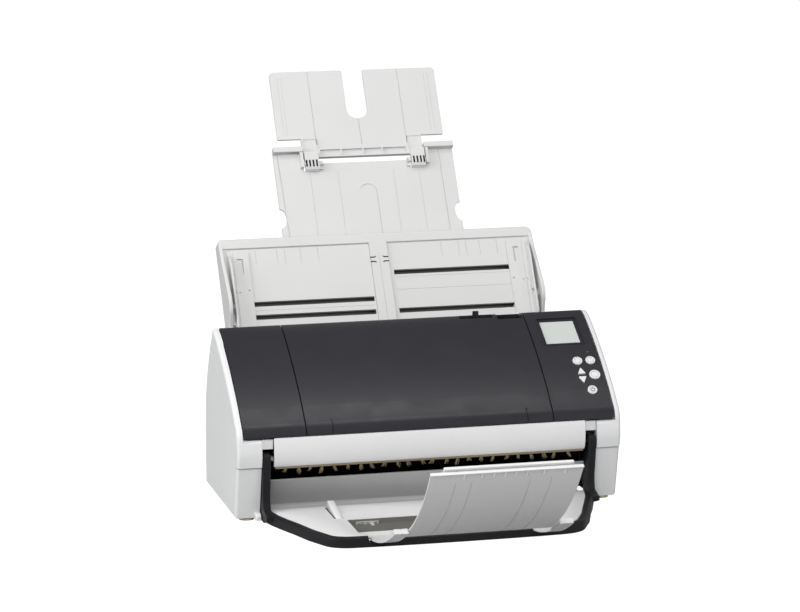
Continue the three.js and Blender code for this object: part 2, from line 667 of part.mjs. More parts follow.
function chuteExtensionTwo() {
  const notch = new THREE.Shape();
  notch.moveTo(-87, 198);
  notch.lineTo(-62.8, 198);
  notch.lineTo(-62.8, 176.4);
  notch.lineTo(62.8, 176.4);
  notch.lineTo(62.8, 198);
  notch.lineTo(87, 198);
  notch.lineTo(87, 273.6);
  notch.lineTo(10.8, 273.6);
  notch.lineTo(10.8, 230);
  notch.absarc(0, 230, 10.8, 0, Math.PI, true);
  notch.lineTo(-10.8, 273.6);
  notch.lineTo(-87, 273.6);
  const outline = notch.getPoints(8).map((point) => [point.x, point.y]);
  const sheet = alongZ(outline, -7.4, -5);
  const ribs = [-64, -47, 47, 64].map((x) => box([x - 0.7, x + 0.7], [200, 270], [-8.2, -7]));
  const bar = box([-62.8, 62.8], [176.4, 180], [-7.4, -1.4]);
  const barrels = [-1, 1].map((side) => {
    const x = side > 0 ? [48.2, 62.6] : [-62.6, -48.2];
    const knuckle = cylinderX(FOLD_UP, FOLD_OUT, 3.2, ...x, 20);
    const arm = box(x, [FOLD_UP, 184], [-4.2, 0.8]);
    return cut(join(knuckle, arm), cylinderX(FOLD_UP, FOLD_OUT, 1.6 + PIN_GAP, x[0] - 1, x[1] + 1, 20));
  });
  return join(sheet, ...ribs, bar, ...barrels);
}

// ---------- stacker ----------
// Half outline of the rim seen from above, from the middle of the front edge to the rear corner.
function rimHalf(insetBy) {
  const line = new THREE.Path();
  line.moveTo(0, -109);
  line.lineTo(60, -108.6);
  line.lineTo(100, -107);
  line.quadraticCurveTo(120, -106, 127, -93);
  line.lineTo(137, -73);
  line.lineTo(160, -10);
  line.lineTo(165.2, 12.5);
  const points = line.getPoints(5).map((point) => [point.x, point.y]);
  return offset(points, -insetBy);
}

function rimRing(insetOuter, insetInner, z0, z1) {
  const outer = rimHalf(insetOuter);
  const inner = rimHalf(insetInner);
  const half = alongZ([...outer, ...inner.reverse()], z0, z1);
  return join(half, mirrorX(half), box([-1, 1], [-109 + insetOuter, -109 + insetInner], [z0, z1]));
}

const RIM_TOP = 10.6;

function stackerRim() {
  const ring = rimRing(0, 8, 0.8, RIM_TOP);
  const rearEdge = [[2, 0.8], [13, 0.8], [18.5, 9], [17, 32], [15.6, 58], [13, 66.4]];
  const frontEdge = [[8, 68.4], [1.5, 68.6], [-0.8, 62], [2.2, 36], [5, 15], [-14, 10.6], [-14, 6]];
  const armLine = [...rearEdge, ...frontEdge];
  const arm = cut(
    join(alongX(armLine, 157.3, 165.1), cylinderX(...HINGE, 6.4, 157.3, 165.1, 24)),
    cylinderX(...HINGE, HINGE_PIN_R + PIN_GAP, 150, 170, 24),
  );
  const plateSlot = box([-71.6, 71.6], [-120, -98], [8, 20]);
  const railSlot = box([70.9, 87.5], [-120, -98], [5.4, 20]);
  return cut(join(ring, arm, mirrorX(arm)), plateSlot, railSlot, mirrorX(railSlot));
}

const TRAY_TOP = 10.4;
const RECESS_HALF = 93;

function stackerTray() {
  const edge = rimHalf(8 + PAD);
  const half = [...edge.filter(([, y]) => y < 2), [156.6, 12.4], [0, 12.4]];
  const plate = join(alongZ(half, 1, TRAY_TOP), mirrorX(alongZ(half, 1, TRAY_TOP)));
  const recess = box([-RECESS_HALF, RECESS_HALF], [-93.5, -38], [2.2, 20]);
  const tunnel = box([-87, 87], [-120, 20], [2.2, 8.2]);
  const notch = box([-87.5, 87.5], [-120, -90], [4, 20]);
  const ribs = [-91, -89.6].map((x) => box([x, x + 0.7], [-92, -40], [1.5, 5]));
  const finSlots = [-1, 1].map((side) => {
    const x = side > 0 ? [FIN_X[0] - PAD, FIN_X[1] + 2] : [-FIN_X[1] - 2, PAD - FIN_X[0]];
    return box(x, [FIN_AXIS[0] - 4, 9.4], [2.8, 20]);
  });
  const underside = [-1, 1].map((side) => {
    const x = side > 0 ? [107, 112] : [-112, -107];
    return box(x, [-60, -36], [-1, 6]);
  });
  return cut(join(plate.subtract(recess), ...ribs), tunnel, notch, ...finSlots, ...underside);
}

const FIN_AXIS = [-30, 6.8]; // y and z of the fins' pivots, along x
const FIN_X = [94.9, 101.6];
const FIN_RISE = 11.5; // degrees that a fin stands up from the floor

function stackerFin(side) {
  const [y, z] = FIN_AXIS;
  const bar = join(cylinderX(y, z, 3.4, ...FIN_X, 24), box(FIN_X, [y, 8], [z - 3.4, z + 3.4]));
  const raised = bar.translate([0, -y, -z]).rotate([FIN_RISE, 0, 0]).translate([0, y, z]);
  return side < 0 ? mirrorX(raised) : raised;
}
function arcStrip(x0, x1, rInner, rOuter, a0, a1, steps = 8) {
  const point = (radius, degrees) => {
    const angle = THREE.MathUtils.degToRad(degrees);
    return [ARC_CENTRE[0] - radius * Math.sin(angle), ARC_CENTRE[1] - radius * Math.cos(angle)];
  };
  const outline = [];
  for (let i = 0; i <= steps; i += 1) {
    outline.push(point(rOuter, a0 + ((a1 - a0) * i) / steps));
  }
  for (let i = steps; i >= 0; i -= 1) {
    outline.push(point(rInner, a0 + ((a1 - a0) * i) / steps));
  }
  return alongX(outline, x0, x1);
}

const STAGE_ONE_HALF = 84.5;
const STAGE_TWO_HALF = 70.5;
const STAGE_TWO_R = ARC_R - STAGE_T - STAGE_GAP;
const STAGE_ONE_END = 29.5; // degrees forward of straight down
const STAGE_TWO_END = 55.3;

function stackerStageOne() {
  const sheet = arcStrip(-STAGE_ONE_HALF, STAGE_ONE_HALF, ARC_R - STAGE_T, ARC_R, 4.6, STAGE_ONE_END, 7);
  const rails = [-1, 1].map((side) => {
    const x = side > 0 ? [72, STAGE_ONE_HALF] : [-STAGE_ONE_HALF, -72];
    return arcStrip(...x, ARC_R - STAGE_T - 2.8, ARC_R - 1, 7, STAGE_ONE_END, 7);
  });
  const opening = arcStrip(-71.2, 71.2, ARC_R - 8, ARC_R + 4, 5.8, STAGE_ONE_END + 2, 7);
  return join(sheet, ...rails).subtract(opening);
}

function stackerStageTwo() {
  const width = [-STAGE_TWO_HALF, STAGE_TWO_HALF];
  const sheet = arcStrip(...width, STAGE_TWO_R - STAGE_T, STAGE_TWO_R, 22.5, STAGE_TWO_END, 9);
  const lipAngles = [STAGE_TWO_END - 0.7, STAGE_TWO_END];
  const lip = arcStrip(...width, STAGE_TWO_R - 2.6, STAGE_TWO_R + 1.2, ...lipAngles, 1);
  return join(sheet, lip);
}

function stackerStopper() {
  return arcStrip(-58, 62, STAGE_TWO_R - 6, STAGE_TWO_R - 3, STAGE_TWO_END - 3.4, STAGE_TWO_END + 0.7, 3);
}

// ---------- levers ----------
const OPEN_LEVER = [96, 120]; // in x
const MODE_SLOT = [57.5, 91.5];
const MODE_LEVER = [71.5, 77.5];

function coverOpenLever() {
  return alongX([[118, 157], [121.6, 157], [121.6, 164], [120, 166.4], [118, 166.4]], ...OPEN_LEVER);
}

function feedModeLever() {
  const outline = [[115.4, 156], [118, 156], [118, 169], [117.4, 172], [116, 172], [115.4, 169]];
  return alongX(outline, ...MODE_LEVER);
}

function centreCover() {
  const openRecess = box([OPEN_LEVER[0] - 0.6, OPEN_LEVER[1] + 0.6], [112.5, 126], [156.4, 172]);
  const modeSlot = box(MODE_SLOT, [114.8, 118.6], [150, 176]);
  return cut(darkCover(-SEAM + SEAM_GAP, SEAM - SEAM_GAP, 0), openRecess, modeSlot);
}

// ---------- assembly ----------
for (const side of [-1, 1]) {
  const label = side < 0 ? 'left' : 'right';
  const flip = (body) => (side < 0 ? mirrorX(body) : body);
  addTo(scanner, `${label}_side_cover`, 'side', flip(sideCover()));
  addTo(scanner, `${label}_hinge_pin`, 'steel', flip(hingePin()));
  addTo(scanner, `foot_front_${label}`, 'foot', foot(side * 177, 24));
  addTo(scanner, `foot_rear_${label}`, 'foot', foot(side * 177, 146));
  addTo(scanner, `stacker_${label}_fin`, 'white', stackerFin(side));
  addTo(chute, `${label}_side_guide`, 'white', sideGuide(side));
}
addTo(scanner, 'base_frame', 'black', baseFrame());
addTo(scanner, 'lower_front_panel', 'white', lowerFrontPanel());
addTo(scanner, 'rear_cover', 'side', rearCover());
addTo(scanner, 'power_inlet', 'black', powerInlet());
addTo(scanner, 'usb_port', 'steel', usbPort());
addTo(scanner, 'control_board', 'board', controlBoard());
addTo(scanner, 'drive_motor', 'steel', driveMotor());
addTo(path, 'drive_belt', 'rubber', driveBelt());
addTo(path, 'lower_paper_guide', 'black', lowerPaperGuide());
addTo(path, 'lower_scan_glass', 'glass', scanGlass(-3.3));
addTo(path, 'eject_roller', 'rubber', drivenRoller(EJECT_AT, EXIT_TYRES, 12));
addTo(path, 'feed_roller', 'rubber', drivenRoller(FEED_AT, WIDE_TYRES, 20));
addTo(path, 'pick_roller', 'rubber', drivenRoller(PICK_AT, FEED_TYRES, 24));
addTo(path, 'motor_pulley', 'steel', motorPulley());
addTo(path, 'upper_paper_guide', 'black', upperPaperGuide());
addTo(path, 'upper_scan_glass', 'glass', scanGlass(1.3));
addTo(path, 'eject_idler', 'rubber', idleRoller(EJECT_AT, 7.3, 7, EXIT_TYRES, 12, 152));
addTo(path, 'brake_roller', 'rubber', idleRoller(FEED_AT, 9.3, 9, [-20, 20], 26, 51.6));
addTo(scanner, 'adf_left_cover', 'dark', darkCover(-COVER_HALF, -SEAM - SEAM_GAP, -1));
addTo(scanner, 'adf_centre_cover', 'dark', centreCover());
addTo(scanner, 'operator_panel', 'dark', operatorPanel());
addTo(scanner, 'lcd_window', 'lcd', lcdWindow());
addTo(scanner, 'status_led', 'led', statusLed());
addTo(scanner, 'adf_front_panel', 'white', frontPanel());
addTo(scanner, 'exit_brush', 'brush', exitBrush());
addTo(scanner, 'cover_open_lever', 'dark', coverOpenLever());
addTo(scanner, 'feed_mode_lever', 'black', feedModeLever());
for (const spec of BUTTONS) {
  addTo(scanner, spec.name, 'button', button(spec));
}
addTo(chute, 'chute_frame', 'white', chuteFrame());
addTo(chute, 'chute_rear_cover', 'white', chuteRearCover());
addTo(chute, 'left_guide_rack', 'gear', rack(1, -140, 8, [-GUIDE_TRAVEL - 7, 7]));
addTo(chute, 'right_guide_rack', 'gear', rack(-1, -8, 140, [-7, GUIDE_TRAVEL + 7]));
addTo(chute, 'guide_pinion', 'gear', guidePinion());
addTo(chute, 'chute_extension_1', 'white', chuteExtensionOne());
addTo(chute, 'chute_extension_2', 'white', chuteExtensionTwo());
addTo(scanner, 'stacker_rim', 'black', stackerRim());
addTo(scanner, 'stacker_tray', 'white', stackerTray());
addTo(scanner, 'stacker_extension_1', 'white', stackerStageOne());
addTo(scanner, 'stacker_extension_2', 'white', stackerStageTwo());
addTo(scanner, 'stacker_stopper', 'white', stackerStopper());
scanner.position.y = FRAME_Y;

export default scanner;
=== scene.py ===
# Looks of the sheet fed document scanner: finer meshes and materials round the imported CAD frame.
# Outlines are in millimetres, with Y measured from the body's front face. The place matrices, BODY and
# CHUTE, turn them into the frame.
import json
import math
import random

import bmesh
import bpy
from mathutils import Matrix, Vector


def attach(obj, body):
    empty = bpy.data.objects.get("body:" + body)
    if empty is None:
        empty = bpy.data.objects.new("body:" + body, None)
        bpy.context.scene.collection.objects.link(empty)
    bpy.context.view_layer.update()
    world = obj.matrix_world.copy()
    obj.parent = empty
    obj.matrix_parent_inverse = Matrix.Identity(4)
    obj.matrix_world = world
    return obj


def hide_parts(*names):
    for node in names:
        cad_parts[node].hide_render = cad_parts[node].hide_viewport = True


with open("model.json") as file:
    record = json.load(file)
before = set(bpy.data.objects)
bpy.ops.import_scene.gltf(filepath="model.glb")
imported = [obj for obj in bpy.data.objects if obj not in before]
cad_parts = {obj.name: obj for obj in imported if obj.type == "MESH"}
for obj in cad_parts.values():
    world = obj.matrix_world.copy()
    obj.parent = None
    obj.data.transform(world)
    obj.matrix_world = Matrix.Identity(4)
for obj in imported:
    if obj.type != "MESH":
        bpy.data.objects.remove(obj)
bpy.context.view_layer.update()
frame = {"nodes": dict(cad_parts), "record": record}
nodes = frame["nodes"]
SLOT_OF = {entry["node"]: entry["material_slot"] for entry in frame["record"]["subparts"]}
BODY_OF = {node: body for body, names in frame["record"]["behaviour"]["bodies"].items() for node in names}

MM = 0.001
FRAME_Y = -32  # the body's front face in the frame

# ---------- materials ----------


def node_material(name):
    mat = bpy.data.materials.new(name)
    mat.use_nodes = True
    tree = mat.node_tree
    shader = tree.nodes["Principled BSDF"]
    coords = tree.nodes.new("ShaderNodeTexCoord").outputs["Object"]
    return mat, tree, shader, coords


def add_noise(tree, coords, scale, detail=3.0, rough=0.5, stretch=None):
    noise = tree.nodes.new("ShaderNodeTexNoise")
    noise.inputs["Scale"].default_value = scale
    noise.inputs["Detail"].default_value = detail
    noise.inputs["Roughness"].default_value = rough
    source = coords
    if stretch:
        mapping = tree.nodes.new("ShaderNodeMapping")
        mapping.inputs["Scale"].default_value = stretch
        tree.links.new(coords, mapping.inputs["Vector"])
        source = mapping.outputs["Vector"]
    tree.links.new(source, noise.inputs["Vector"])
    return noise.outputs["Fac"]


def add_range(tree, value, low, high, from_low=0.3, from_high=0.7):
    ranger = tree.nodes.new("ShaderNodeMapRange")
    ranger.inputs["From Min"].default_value = from_low
    ranger.inputs["From Max"].default_value = from_high
    ranger.inputs["To Min"].default_value = low
    ranger.inputs["To Max"].default_value = high
    tree.links.new(value, ranger.inputs["Value"])
    return ranger.outputs["Result"]


MIX_A, MIX_B, MIX_RESULT = 6, 7, 2  # the colour sockets of a Mix node


def add_mix(tree, factor, first, second):
    mix = tree.nodes.new("ShaderNodeMix")
    mix.data_type = "RGBA"
    tree.links.new(factor, mix.inputs["Factor"])
    for socket, colour in ((MIX_A, first), (MIX_B, second)):
        mix.inputs[socket].default_value = (*colour, 1)
    return mix.outputs[MIX_RESULT]


def plastic(
    name, colour, roughness, grain=2600, depth=0.03, spread=0.03, shine=0.5, metallic=0.0, stretch=None
):
    """Moulded plastic: spark-eroded grain, a slow tone drift and uneven gloss."""
    mat, tree, shader, coords = node_material(name)
    drift = add_noise(tree, coords, 14, 2)
    dark = tuple(c * (1 - spread) for c in colour)
    light = tuple(min(1, c * (1 + spread)) for c in colour)
    tree.links.new(add_mix(tree, drift, dark, light), shader.inputs["Base Color"])
    fine = add_noise(tree, coords, grain, 2, stretch=stretch)
    smudge = add_noise(tree, coords, 45, 4)
    tree.links.new(add_range(tree, smudge, roughness - 0.04, roughness + 0.05), shader.inputs["Roughness"])
    bump = tree.nodes.new("ShaderNodeBump")
    bump.inputs["Strength"].default_value = depth
    bump.inputs["Distance"].default_value = 0.0002
    tree.links.new(fine, bump.inputs["Height"])
    tree.links.new(bump.outputs["Normal"], shader.inputs["Normal"])
    shader.inputs["Metallic"].default_value = metallic
    shader.inputs["Specular IOR Level"].default_value = shine
    return mat


def window(name, colour, alpha=1.0):
    mat, tree, shader, coords = node_material(name)
    drift = add_noise(tree, coords, 30, 2)
    dark = tuple(c * 0.96 for c in colour)
    tree.links.new(add_mix(tree, drift, dark, colour), shader.inputs["Base Color"])
    shader.inputs["Roughness"].default_value = 0.08
    shader.inputs["Coat Weight"].default_value = 0.6
    shader.inputs["Transmission Weight"].default_value = 1 - alpha
    return mat


MATERIALS = {
    "white": plastic("white", (0.70, 0.70, 0.70), 0.42, depth=0.05),
    "side": plastic("side", (0.70, 0.705, 0.71), 0.5, grain=2200, depth=0.09),
    # a brighter copy of the white plastic, painted light on the lit faces of the stacker's gussets
    "lit_white": plastic("lit_white", (0.95, 0.95, 0.96), 0.42, depth=0.02),
    # painted shade: a dark grey-brown for the tray's recess and the sheet behind the chute slots
    "hollow_shade": plastic("hollow_shade", (0.115, 0.11, 0.1), 0.6, depth=0.08),
    "chute": plastic("chute", (0.61, 0.61, 0.605), 0.42, depth=0.05),
    # a darker copy of the white plastic, painted shade on the lower front panel and the latch housings
    "wall": plastic("wall", (0.45, 0.45, 0.45), 0.5, depth=0.05),
    "dark": plastic(
        "dark", (0.0225, 0.0215, 0.0265), 0.33, grain=3000, depth=0.05, spread=0.08, shine=0.42
    ),
    "black": plastic("black", (0.011, 0.011, 0.013), 0.45, depth=0.06, spread=0.1, shine=0.25),
    "lcd": window("lcd", (0.58, 0.61, 0.59)),
    "glass": window("glass", (0.6, 0.7, 0.7), 0.35),
    "button": plastic("button", (0.70, 0.70, 0.71), 0.3, depth=0.02),
    "led": plastic("led", (0.10, 0.12, 0.11), 0.2, depth=0.0),
    "rubber": plastic("rubber", (0.05, 0.052, 0.055), 0.75, grain=900, depth=0.15),
    "steel": plastic("steel", (0.55, 0.56, 0.58), 0.3, depth=0.02, metallic=1.0, stretch=(1, 12, 12)),
    "brush": plastic("brush", (0.23, 0.18, 0.11), 0.8, grain=1500, depth=0.2, spread=0.3),
    "board": plastic("board", (0.03, 0.12, 0.05), 0.45, depth=0.02, spread=0.1),
    "foot": plastic("foot", (0.55, 0.5, 0.33), 0.8, grain=1200, depth=0.12),
    "gear": plastic("gear", (0.72, 0.70, 0.62), 0.45, depth=0.02),
}

# nodes whose material isn't their slot's own: greyer whites for the chute, a darker white as painted shade
# on the lower front panel, and black as painted shade on the lever in its recess
LOOK_OF = {
    "chute_frame": "chute",
    "chute_rear_cover": "chute",
    "left_side_guide": "chute",
    "right_side_guide": "chute",
    "chute_extension_1": "chute",
    "chute_extension_2": "chute",
    "lower_front_panel": "wall",
    "cover_open_lever": "black",
}

# ---------- mesh tools ----------


def slope(y, z, degrees, x=0):
    """The frame of a face that slopes up to the back, in millimetres."""
    place = Matrix.Translation((x * MM, (y + FRAME_Y) * MM, z * MM))
    return place @ Matrix.Rotation(math.radians(degrees), 4, "X") @ Matrix.Scale(MM, 4)


BODY = slope(0, 0, 0)
CHUTE = slope(180.4, 158.7, 57)
MIRROR = Matrix.Diagonal((-1, 1, 1, 1))


def bezier(start, control, end, steps):
    points = []
    for k in range(1, steps + 1):
        t = k / steps
        a, b, c = (1 - t) ** 2, 2 * t * (1 - t), t * t
        points.append(tuple(a * p + b * q + c * r for p, q, r in zip(start, control, end)))
    return points


def offset(points, distance, closed=False):
    """Moves a line to its right-hand side; a closed outline runs anticlockwise."""
    moved = []
    count = len(points)
    for i, (u, v) in enumerate(points):
        near = []
        if i > 0 or closed:
            near.append((points[i - 1], (u, v)))
        if i < count - 1 or closed:
            near.append(((u, v), points[(i + 1) % count]))
        normals = []
        for (a, b), (c, d) in near:
            length = math.hypot(c - a, d - b) or 1
            normals.append(((d - b) / length, (a - c) / length))
        n = [sum(m[k] for m in normals) for k in (0, 1)]
        share = distance * len(normals) / max(n[0] ** 2 + n[1] ** 2, 0.8) if len(normals) > 1 else distance
        moved.append((u + n[0] * share, v + n[1] * share))
    return moved


def anticlockwise(outline):
    area = sum(a[0] * b[1] - b[0] * a[1] for a, b in zip(outline, outline[1:] + outline[:1]))
    return list(outline) if area > 0 else list(outline)[::-1]


def loft(rings, at=BODY):
    """A closed solid through rings of points that all have the same number of points."""
    bm = bmesh.new()
    made = [[bm.verts.new(p) for p in ring] for ring in rings]
    for a, b in zip(made, made[1:]):
        for i in range(len(a)):
            bm.faces.new((a[i - 1], a[i], b[i], b[i - 1]))
    bm.faces.new(made[0])
    bm.faces.new(made[-1])
    bm.transform(at)
    bmesh.ops.recalc_face_normals(bm, faces=bm.faces)
    mesh = bpy.data.meshes.new("solid")
    bm.to_mesh(mesh)
    bm.free()
    obj = bpy.data.objects.new("solid", mesh)
    bpy.context.scene.collection.objects.link(obj)
    return obj


ORDER = {"X": lambda a, b, c: (c, a, b), "Y": lambda a, b, c: (a, c, b), "Z": lambda a, b, c: (a, b, c)}


def prism(outline, low, high, axis="X", at=BODY, round_low=0, round_high=0, steps=4):
    """An outline pushed along an axis, with its two end faces rounded over if wanted."""
    outline = anticlockwise(outline)
    levels = []
    if round_low:
        for k in range(steps + 1):
            turn = math.pi / 2 * k / steps
            levels.append((low + round_low * (1 - math.sin(turn)), round_low * (1 - math.cos(turn))))
        levels.reverse()
    else:
        levels.append((low, 0))
    if round_high:
        for k in range(steps + 1):
            turn = math.pi / 2 * k / steps
            levels.append((high - round_high * (1 - math.sin(turn)), round_high * (1 - math.cos(turn))))
    else:
        levels.append((high, 0))
    rings = []
    for level, inset in levels:
        ring = offset(outline, -inset, True) if inset else outline
        rings.append([ORDER[axis](a, b, level) for a, b in ring])
    return loft(rings, at)


def box(x, y, z, at=BODY):
    return prism([(x[0], y[0]), (x[1], y[0]), (x[1], y[1]), (x[0], y[1])], z[0], z[1], "Z", at)


def circle(centre, radius, count=32, start=0.0, end=2 * math.pi):
    full = end - start >= 2 * math.pi - 1e-6
    total = count if full else count + 1
    return [
        (
            centre[0] + radius * math.cos(start + (end - start) * i / count),
            centre[1] + radius * math.sin(start + (end - start) * i / count),
        )
        for i in range(total)
    ]


def rod(centre, radius, low, high, axis="X", at=BODY, count=32, edge=0.0):
    return prism(circle(centre, radius, count), low, high, axis, at, edge, edge, 2)


def applied(obj):
    bpy.context.view_layer.update()
    graph = bpy.context.evaluated_depsgraph_get()
    mesh = bpy.data.meshes.new_from_object(obj.evaluated_get(graph))
    obj.modifiers.clear()
    obj.data = mesh
    return obj


def combine(obj, others, kind):
    for other in others:
        step = obj.modifiers.new("step", "BOOLEAN")
        step.operation = kind
        step.solver = "EXACT"
        step.object = other
        applied(obj)
        bpy.data.objects.remove(other)
    return obj


def join(first, *others):
    return combine(first, others, "UNION")


def cut(first, *tools):
    return combine(first, tools, "DIFFERENCE")


SHARP = math.radians(38)


def piece(obj, name, slot, body, edge=0.4, replaces=(), segments=2, limit=32, cuts=(), look=None):
    """Rounds the edges, cuts the fine lines, gives the material and hangs the piece on its body."""
    bm = bmesh.new()
    bm.from_mesh(obj.data)
    bmesh.ops.remove_doubles(bm, verts=bm.verts, dist=2e-6)
    bmesh.ops.dissolve_limit(bm, angle_limit=math.radians(0.3), verts=bm.verts, edges=bm.edges)
    bm.to_mesh(obj.data)
    bm.free()
    if edge:
        bevel = obj.modifiers.new("edge", "BEVEL")
        bevel.width = edge * MM
        bevel.segments = segments
        bevel.limit_method = "ANGLE"
        bevel.angle_limit = math.radians(limit)
        applied(obj)
    if cuts:
        cut(obj, *cuts)
    bm = bmesh.new()
    bm.from_mesh(obj.data)
    for face in bm.faces:
        face.smooth = True
    for line in bm.edges:
        line.smooth = line.is_manifold and line.calc_face_angle(0) < SHARP
    bm.to_mesh(obj.data)
    bm.free()
    weighted = obj.modifiers.new("normals", "WEIGHTED_NORMAL")
    weighted.keep_sharp = True
    weighted.weight = 80
    applied(obj)
    obj.name = name
    obj.data.name = name
    obj.data.materials.clear()
    obj.data.materials.append(MATERIALS[look or slot])
    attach(obj, body)
    if replaces:
        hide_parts(*replaces)
    return obj


def stand_in(obj, node, edge=0.4, **more):
    """A finer piece for one CAD node, on the same body and slot."""
    look = LOOK_OF.get(node)
    return piece(obj, node + "_look", SLOT_OF[node], BODY_OF[node], edge, (node,), look=look, **more)


# ---------- side covers ----------
COVER_CURVES = [
    ((0.5, 84), (2, 91), (7.5, 95.5)),
    ((7.5, 95.5), (12.5, 99.5), (22, 108.8)),
    ((22, 108.8), (58, 138.3), (100, 160.6)),
    ((100, 160.6), (110, 165.6), (117, 167.3)),
    ((117, 167.3), (121.6, 168.2), (121.8, 163)),
]


def cover_line(steps=9):
    points = [COVER_CURVES[0][0]]
    for start, control, end in COVER_CURVES:
        points += bezier(start, control, end, steps)
    return points


COVER = cover_line()
FRONT = [(15, 3), (3.4, 54), (1.4, 55.2), (-0.8, 65), (-0.6, 72)]
REAR = [(125.5, 158.5), (134, 146.5)] + bezier((134, 146.5), (149, 123), (158, 92), 5)
REAR += [(161, 60), (161, 3)]


def side_cover(at):
    profile = FRONT + [(0.2, 82)] + cover_line(5) + REAR
    rim = prism(profile, 184.4, 190, "X", at, 0, 3.2, 5)
    top = [p for p in offset(cover_line(4), 8) if p[0] > 14 and p[1] < 147]
    pod_line = FRONT + [(0, 79.5), (2.4, 81.6), (8, 82.4)] + top + [(112, 149), (128, 149)] + REAR[1:]
    pod = prism(pod_line, 165.8, 186, "X", at)
    seam = [(133.5, 145.2), (113, 144.6), (86, 124), (70, 111)]
    groove = []
    for (a, b), (c, d) in zip(seam, seam[1:]):
        groove.append(prism([(a, b), (c, d), (c, d + 0.6), (a, b + 0.6)], 189.55, 191, "X", at))
    step = prism([(-3, 54.6), (8.5, 54.2), (8.5, 55), (-3, 55.3)], 160, 192, "X", at)
    return join(rim, pod), [step, *groove]


for side, at in (("right", BODY), ("left", BODY @ MIRROR)):
    cover, lines = side_cover(at)
    stand_in(cover, side + "_side_cover", 0.9, segments=3, cuts=lines)
    filler = box((154.5, 165.4), (3.2, 9), (72.3, 82), at)
    piece(filler, side + "_gap_filler", "side", "root", 0.5)

# ---------- dark covers ----------
SKIN = 2.6
SEAM = 122.2
SEAM_HALF = 0.55  # half the gap between two covers
COVER_HALF = 183.4
TOP_ROUND = 7  # radius of the covers' outer corners at the top
LOW_ROUND = 2.4


def shell(x0, x1, round_side):
    """The curved cover between two x's; its outer end turns in with rounded corners."""
    outer = COVER + [(121.8, 152)]
    inner = offset(COVER, SKIN) + [(119.2, 152)]
    length = [0]
    for a, b in zip(COVER, COVER[1:]):
        length.append(length[-1] + math.dist(a, b))
    length.append(length[-1])
    rings = []
    for (oy, oz), (iy, iz), run in zip(outer, inner, length):
        top = max(0, TOP_ROUND - (length[-1] - run))
        low = max(0, LOW_ROUND - run)
        turn = TOP_ROUND - math.sqrt(max(0, TOP_ROUND**2 - top * top))
        turn += LOW_ROUND - math.sqrt(max(0, LOW_ROUND**2 - low * low))
        a = x0 + (turn if round_side < 0 else 0)
        b = x1 - (turn if round_side > 0 else 0)
        rings.append([(a, oy, oz), (b, oy, oz), (b, iy, iz), (a, iy, iz)])
    return loft(rings)


def cover_at(y):
    for (a, b), (c, d) in zip(COVER, COVER[1:]):
        if a <= y <= c:
            return b + (d - b) * (y - a) / (c - a), math.degrees(math.atan2(d - b, c - a))
    return COVER[0][1], 0


def on_cover(x, y):
    height, angle = cover_at(y)
    return slope(y, height, angle, x)


stand_in(shell(-COVER_HALF, -SEAM - SEAM_HALF, -1), "adf_left_cover", 0.7, segments=3)

centre = shell(-SEAM + SEAM_HALF, SEAM - SEAM_HALF, 0)
OPEN_LEVER = (96, 120)
MODE_SLOT = (57.5, 91.5)
MARK_X = 96.5  # the paper-size marks on the cover's front edge
marks = []
for x in (-MARK_X, MARK_X):
    mark = box((x - 0.55, x + 0.55), (-4, 9.5), (84.8, 97.5))
    below = prism(offset(COVER, 1.2) + [(130, 60), (-6, 60)], -120, 120)
    marks.append(cut(mark, below))
wide = (OPEN_LEVER[0] - 0.6, OPEN_LEVER[1] + 0.6)
lever_cut = box(wide, (108.5, 126), (156.4, 172))
centre = cut(centre, lever_cut, box(MODE_SLOT, (111.8, 118.6), (150, 176)))
stand_in(centre, "adf_centre_cover", 0.6, segments=3, cuts=marks)

# the floors under the mode slot and the open lever, black as painted shade in these recesses
slot_floor = prism([(108, 158), (120.5, 161), (120.5, 162.4), (108, 159.4)], 55, 94)
piece(slot_floor, "mode_slot_floor", "black", "upper_unit", 0.2)
recess = prism([(106, 153), (121.4, 153), (121.4, 155.6), (106, 155.6)], 94, 121.8)
piece(recess, "open_recess_floor", "black", "upper_unit", 0.3)

# black strips that close the seams from below, painted shade seen through the gaps
for side in (1, -1):
    band = offset(COVER, SKIN + 0.3) + offset(COVER, SKIN + 1.3)[::-1]
    strip = prism(band, side * SEAM - 3, side * SEAM + 3)
    piece(strip, f"seam_shade_{side + 1}", "black", "upper_unit", 0)

# ---------- operator panel ----------
BUTTONS = {
    "menu": (160.5, 51.2, 4.9, "round"),
    "function": (173.6, 51.1, 4.9, "round"),
    "up": (161, 40.2, 4.1, "up"),
    "down": (160.8, 31.5, 4.1, "down"),
    "scan": (173.7, 35.9, 5.5, "round"),
    "power": (167.1, 21.3, 4.8, "round"),
}
LCD_AT = (153.4, 87.8)
LCD_HALF = (17.25, 16.2)
LED_AT = (173.8, 60.8)
SIGN_DEPTH = (1.15, 1.36)


CORNER_CUT = 0.12  # how much of each side a rounded corner takes
CORNER_PULL = 0.45  # how far its middle point stays towards the sharp corner


def key_outline(kind, size, grow=0.0):
    """A round key, or a triangle with rounded corners that points up or down."""
    if kind == "round":
        return circle((0, 0), size + grow, 36)
    way = 1 if kind == "up" else -1
    reach = size + 1.4 * grow
    foot = -way * reach * 0.9
    corners = anticlockwise([(-reach, foot), (reach, foot), (0, way * reach * 1.05)])
    rounded = []
    for i, corner in enumerate(corners):
        start, end = (
            tuple(c + (o - c) * CORNER_CUT for c, o in zip(corner, other))
            for other in (corners[i - 1], corners[(i + 1) % 3])
        )
        middle = tuple(
            (p + q) / 2 * (1 - CORNER_PULL) + c * CORNER_PULL for p, q, c in zip(start, end, corner)
        )
        rounded += [start, middle, end]
    return rounded


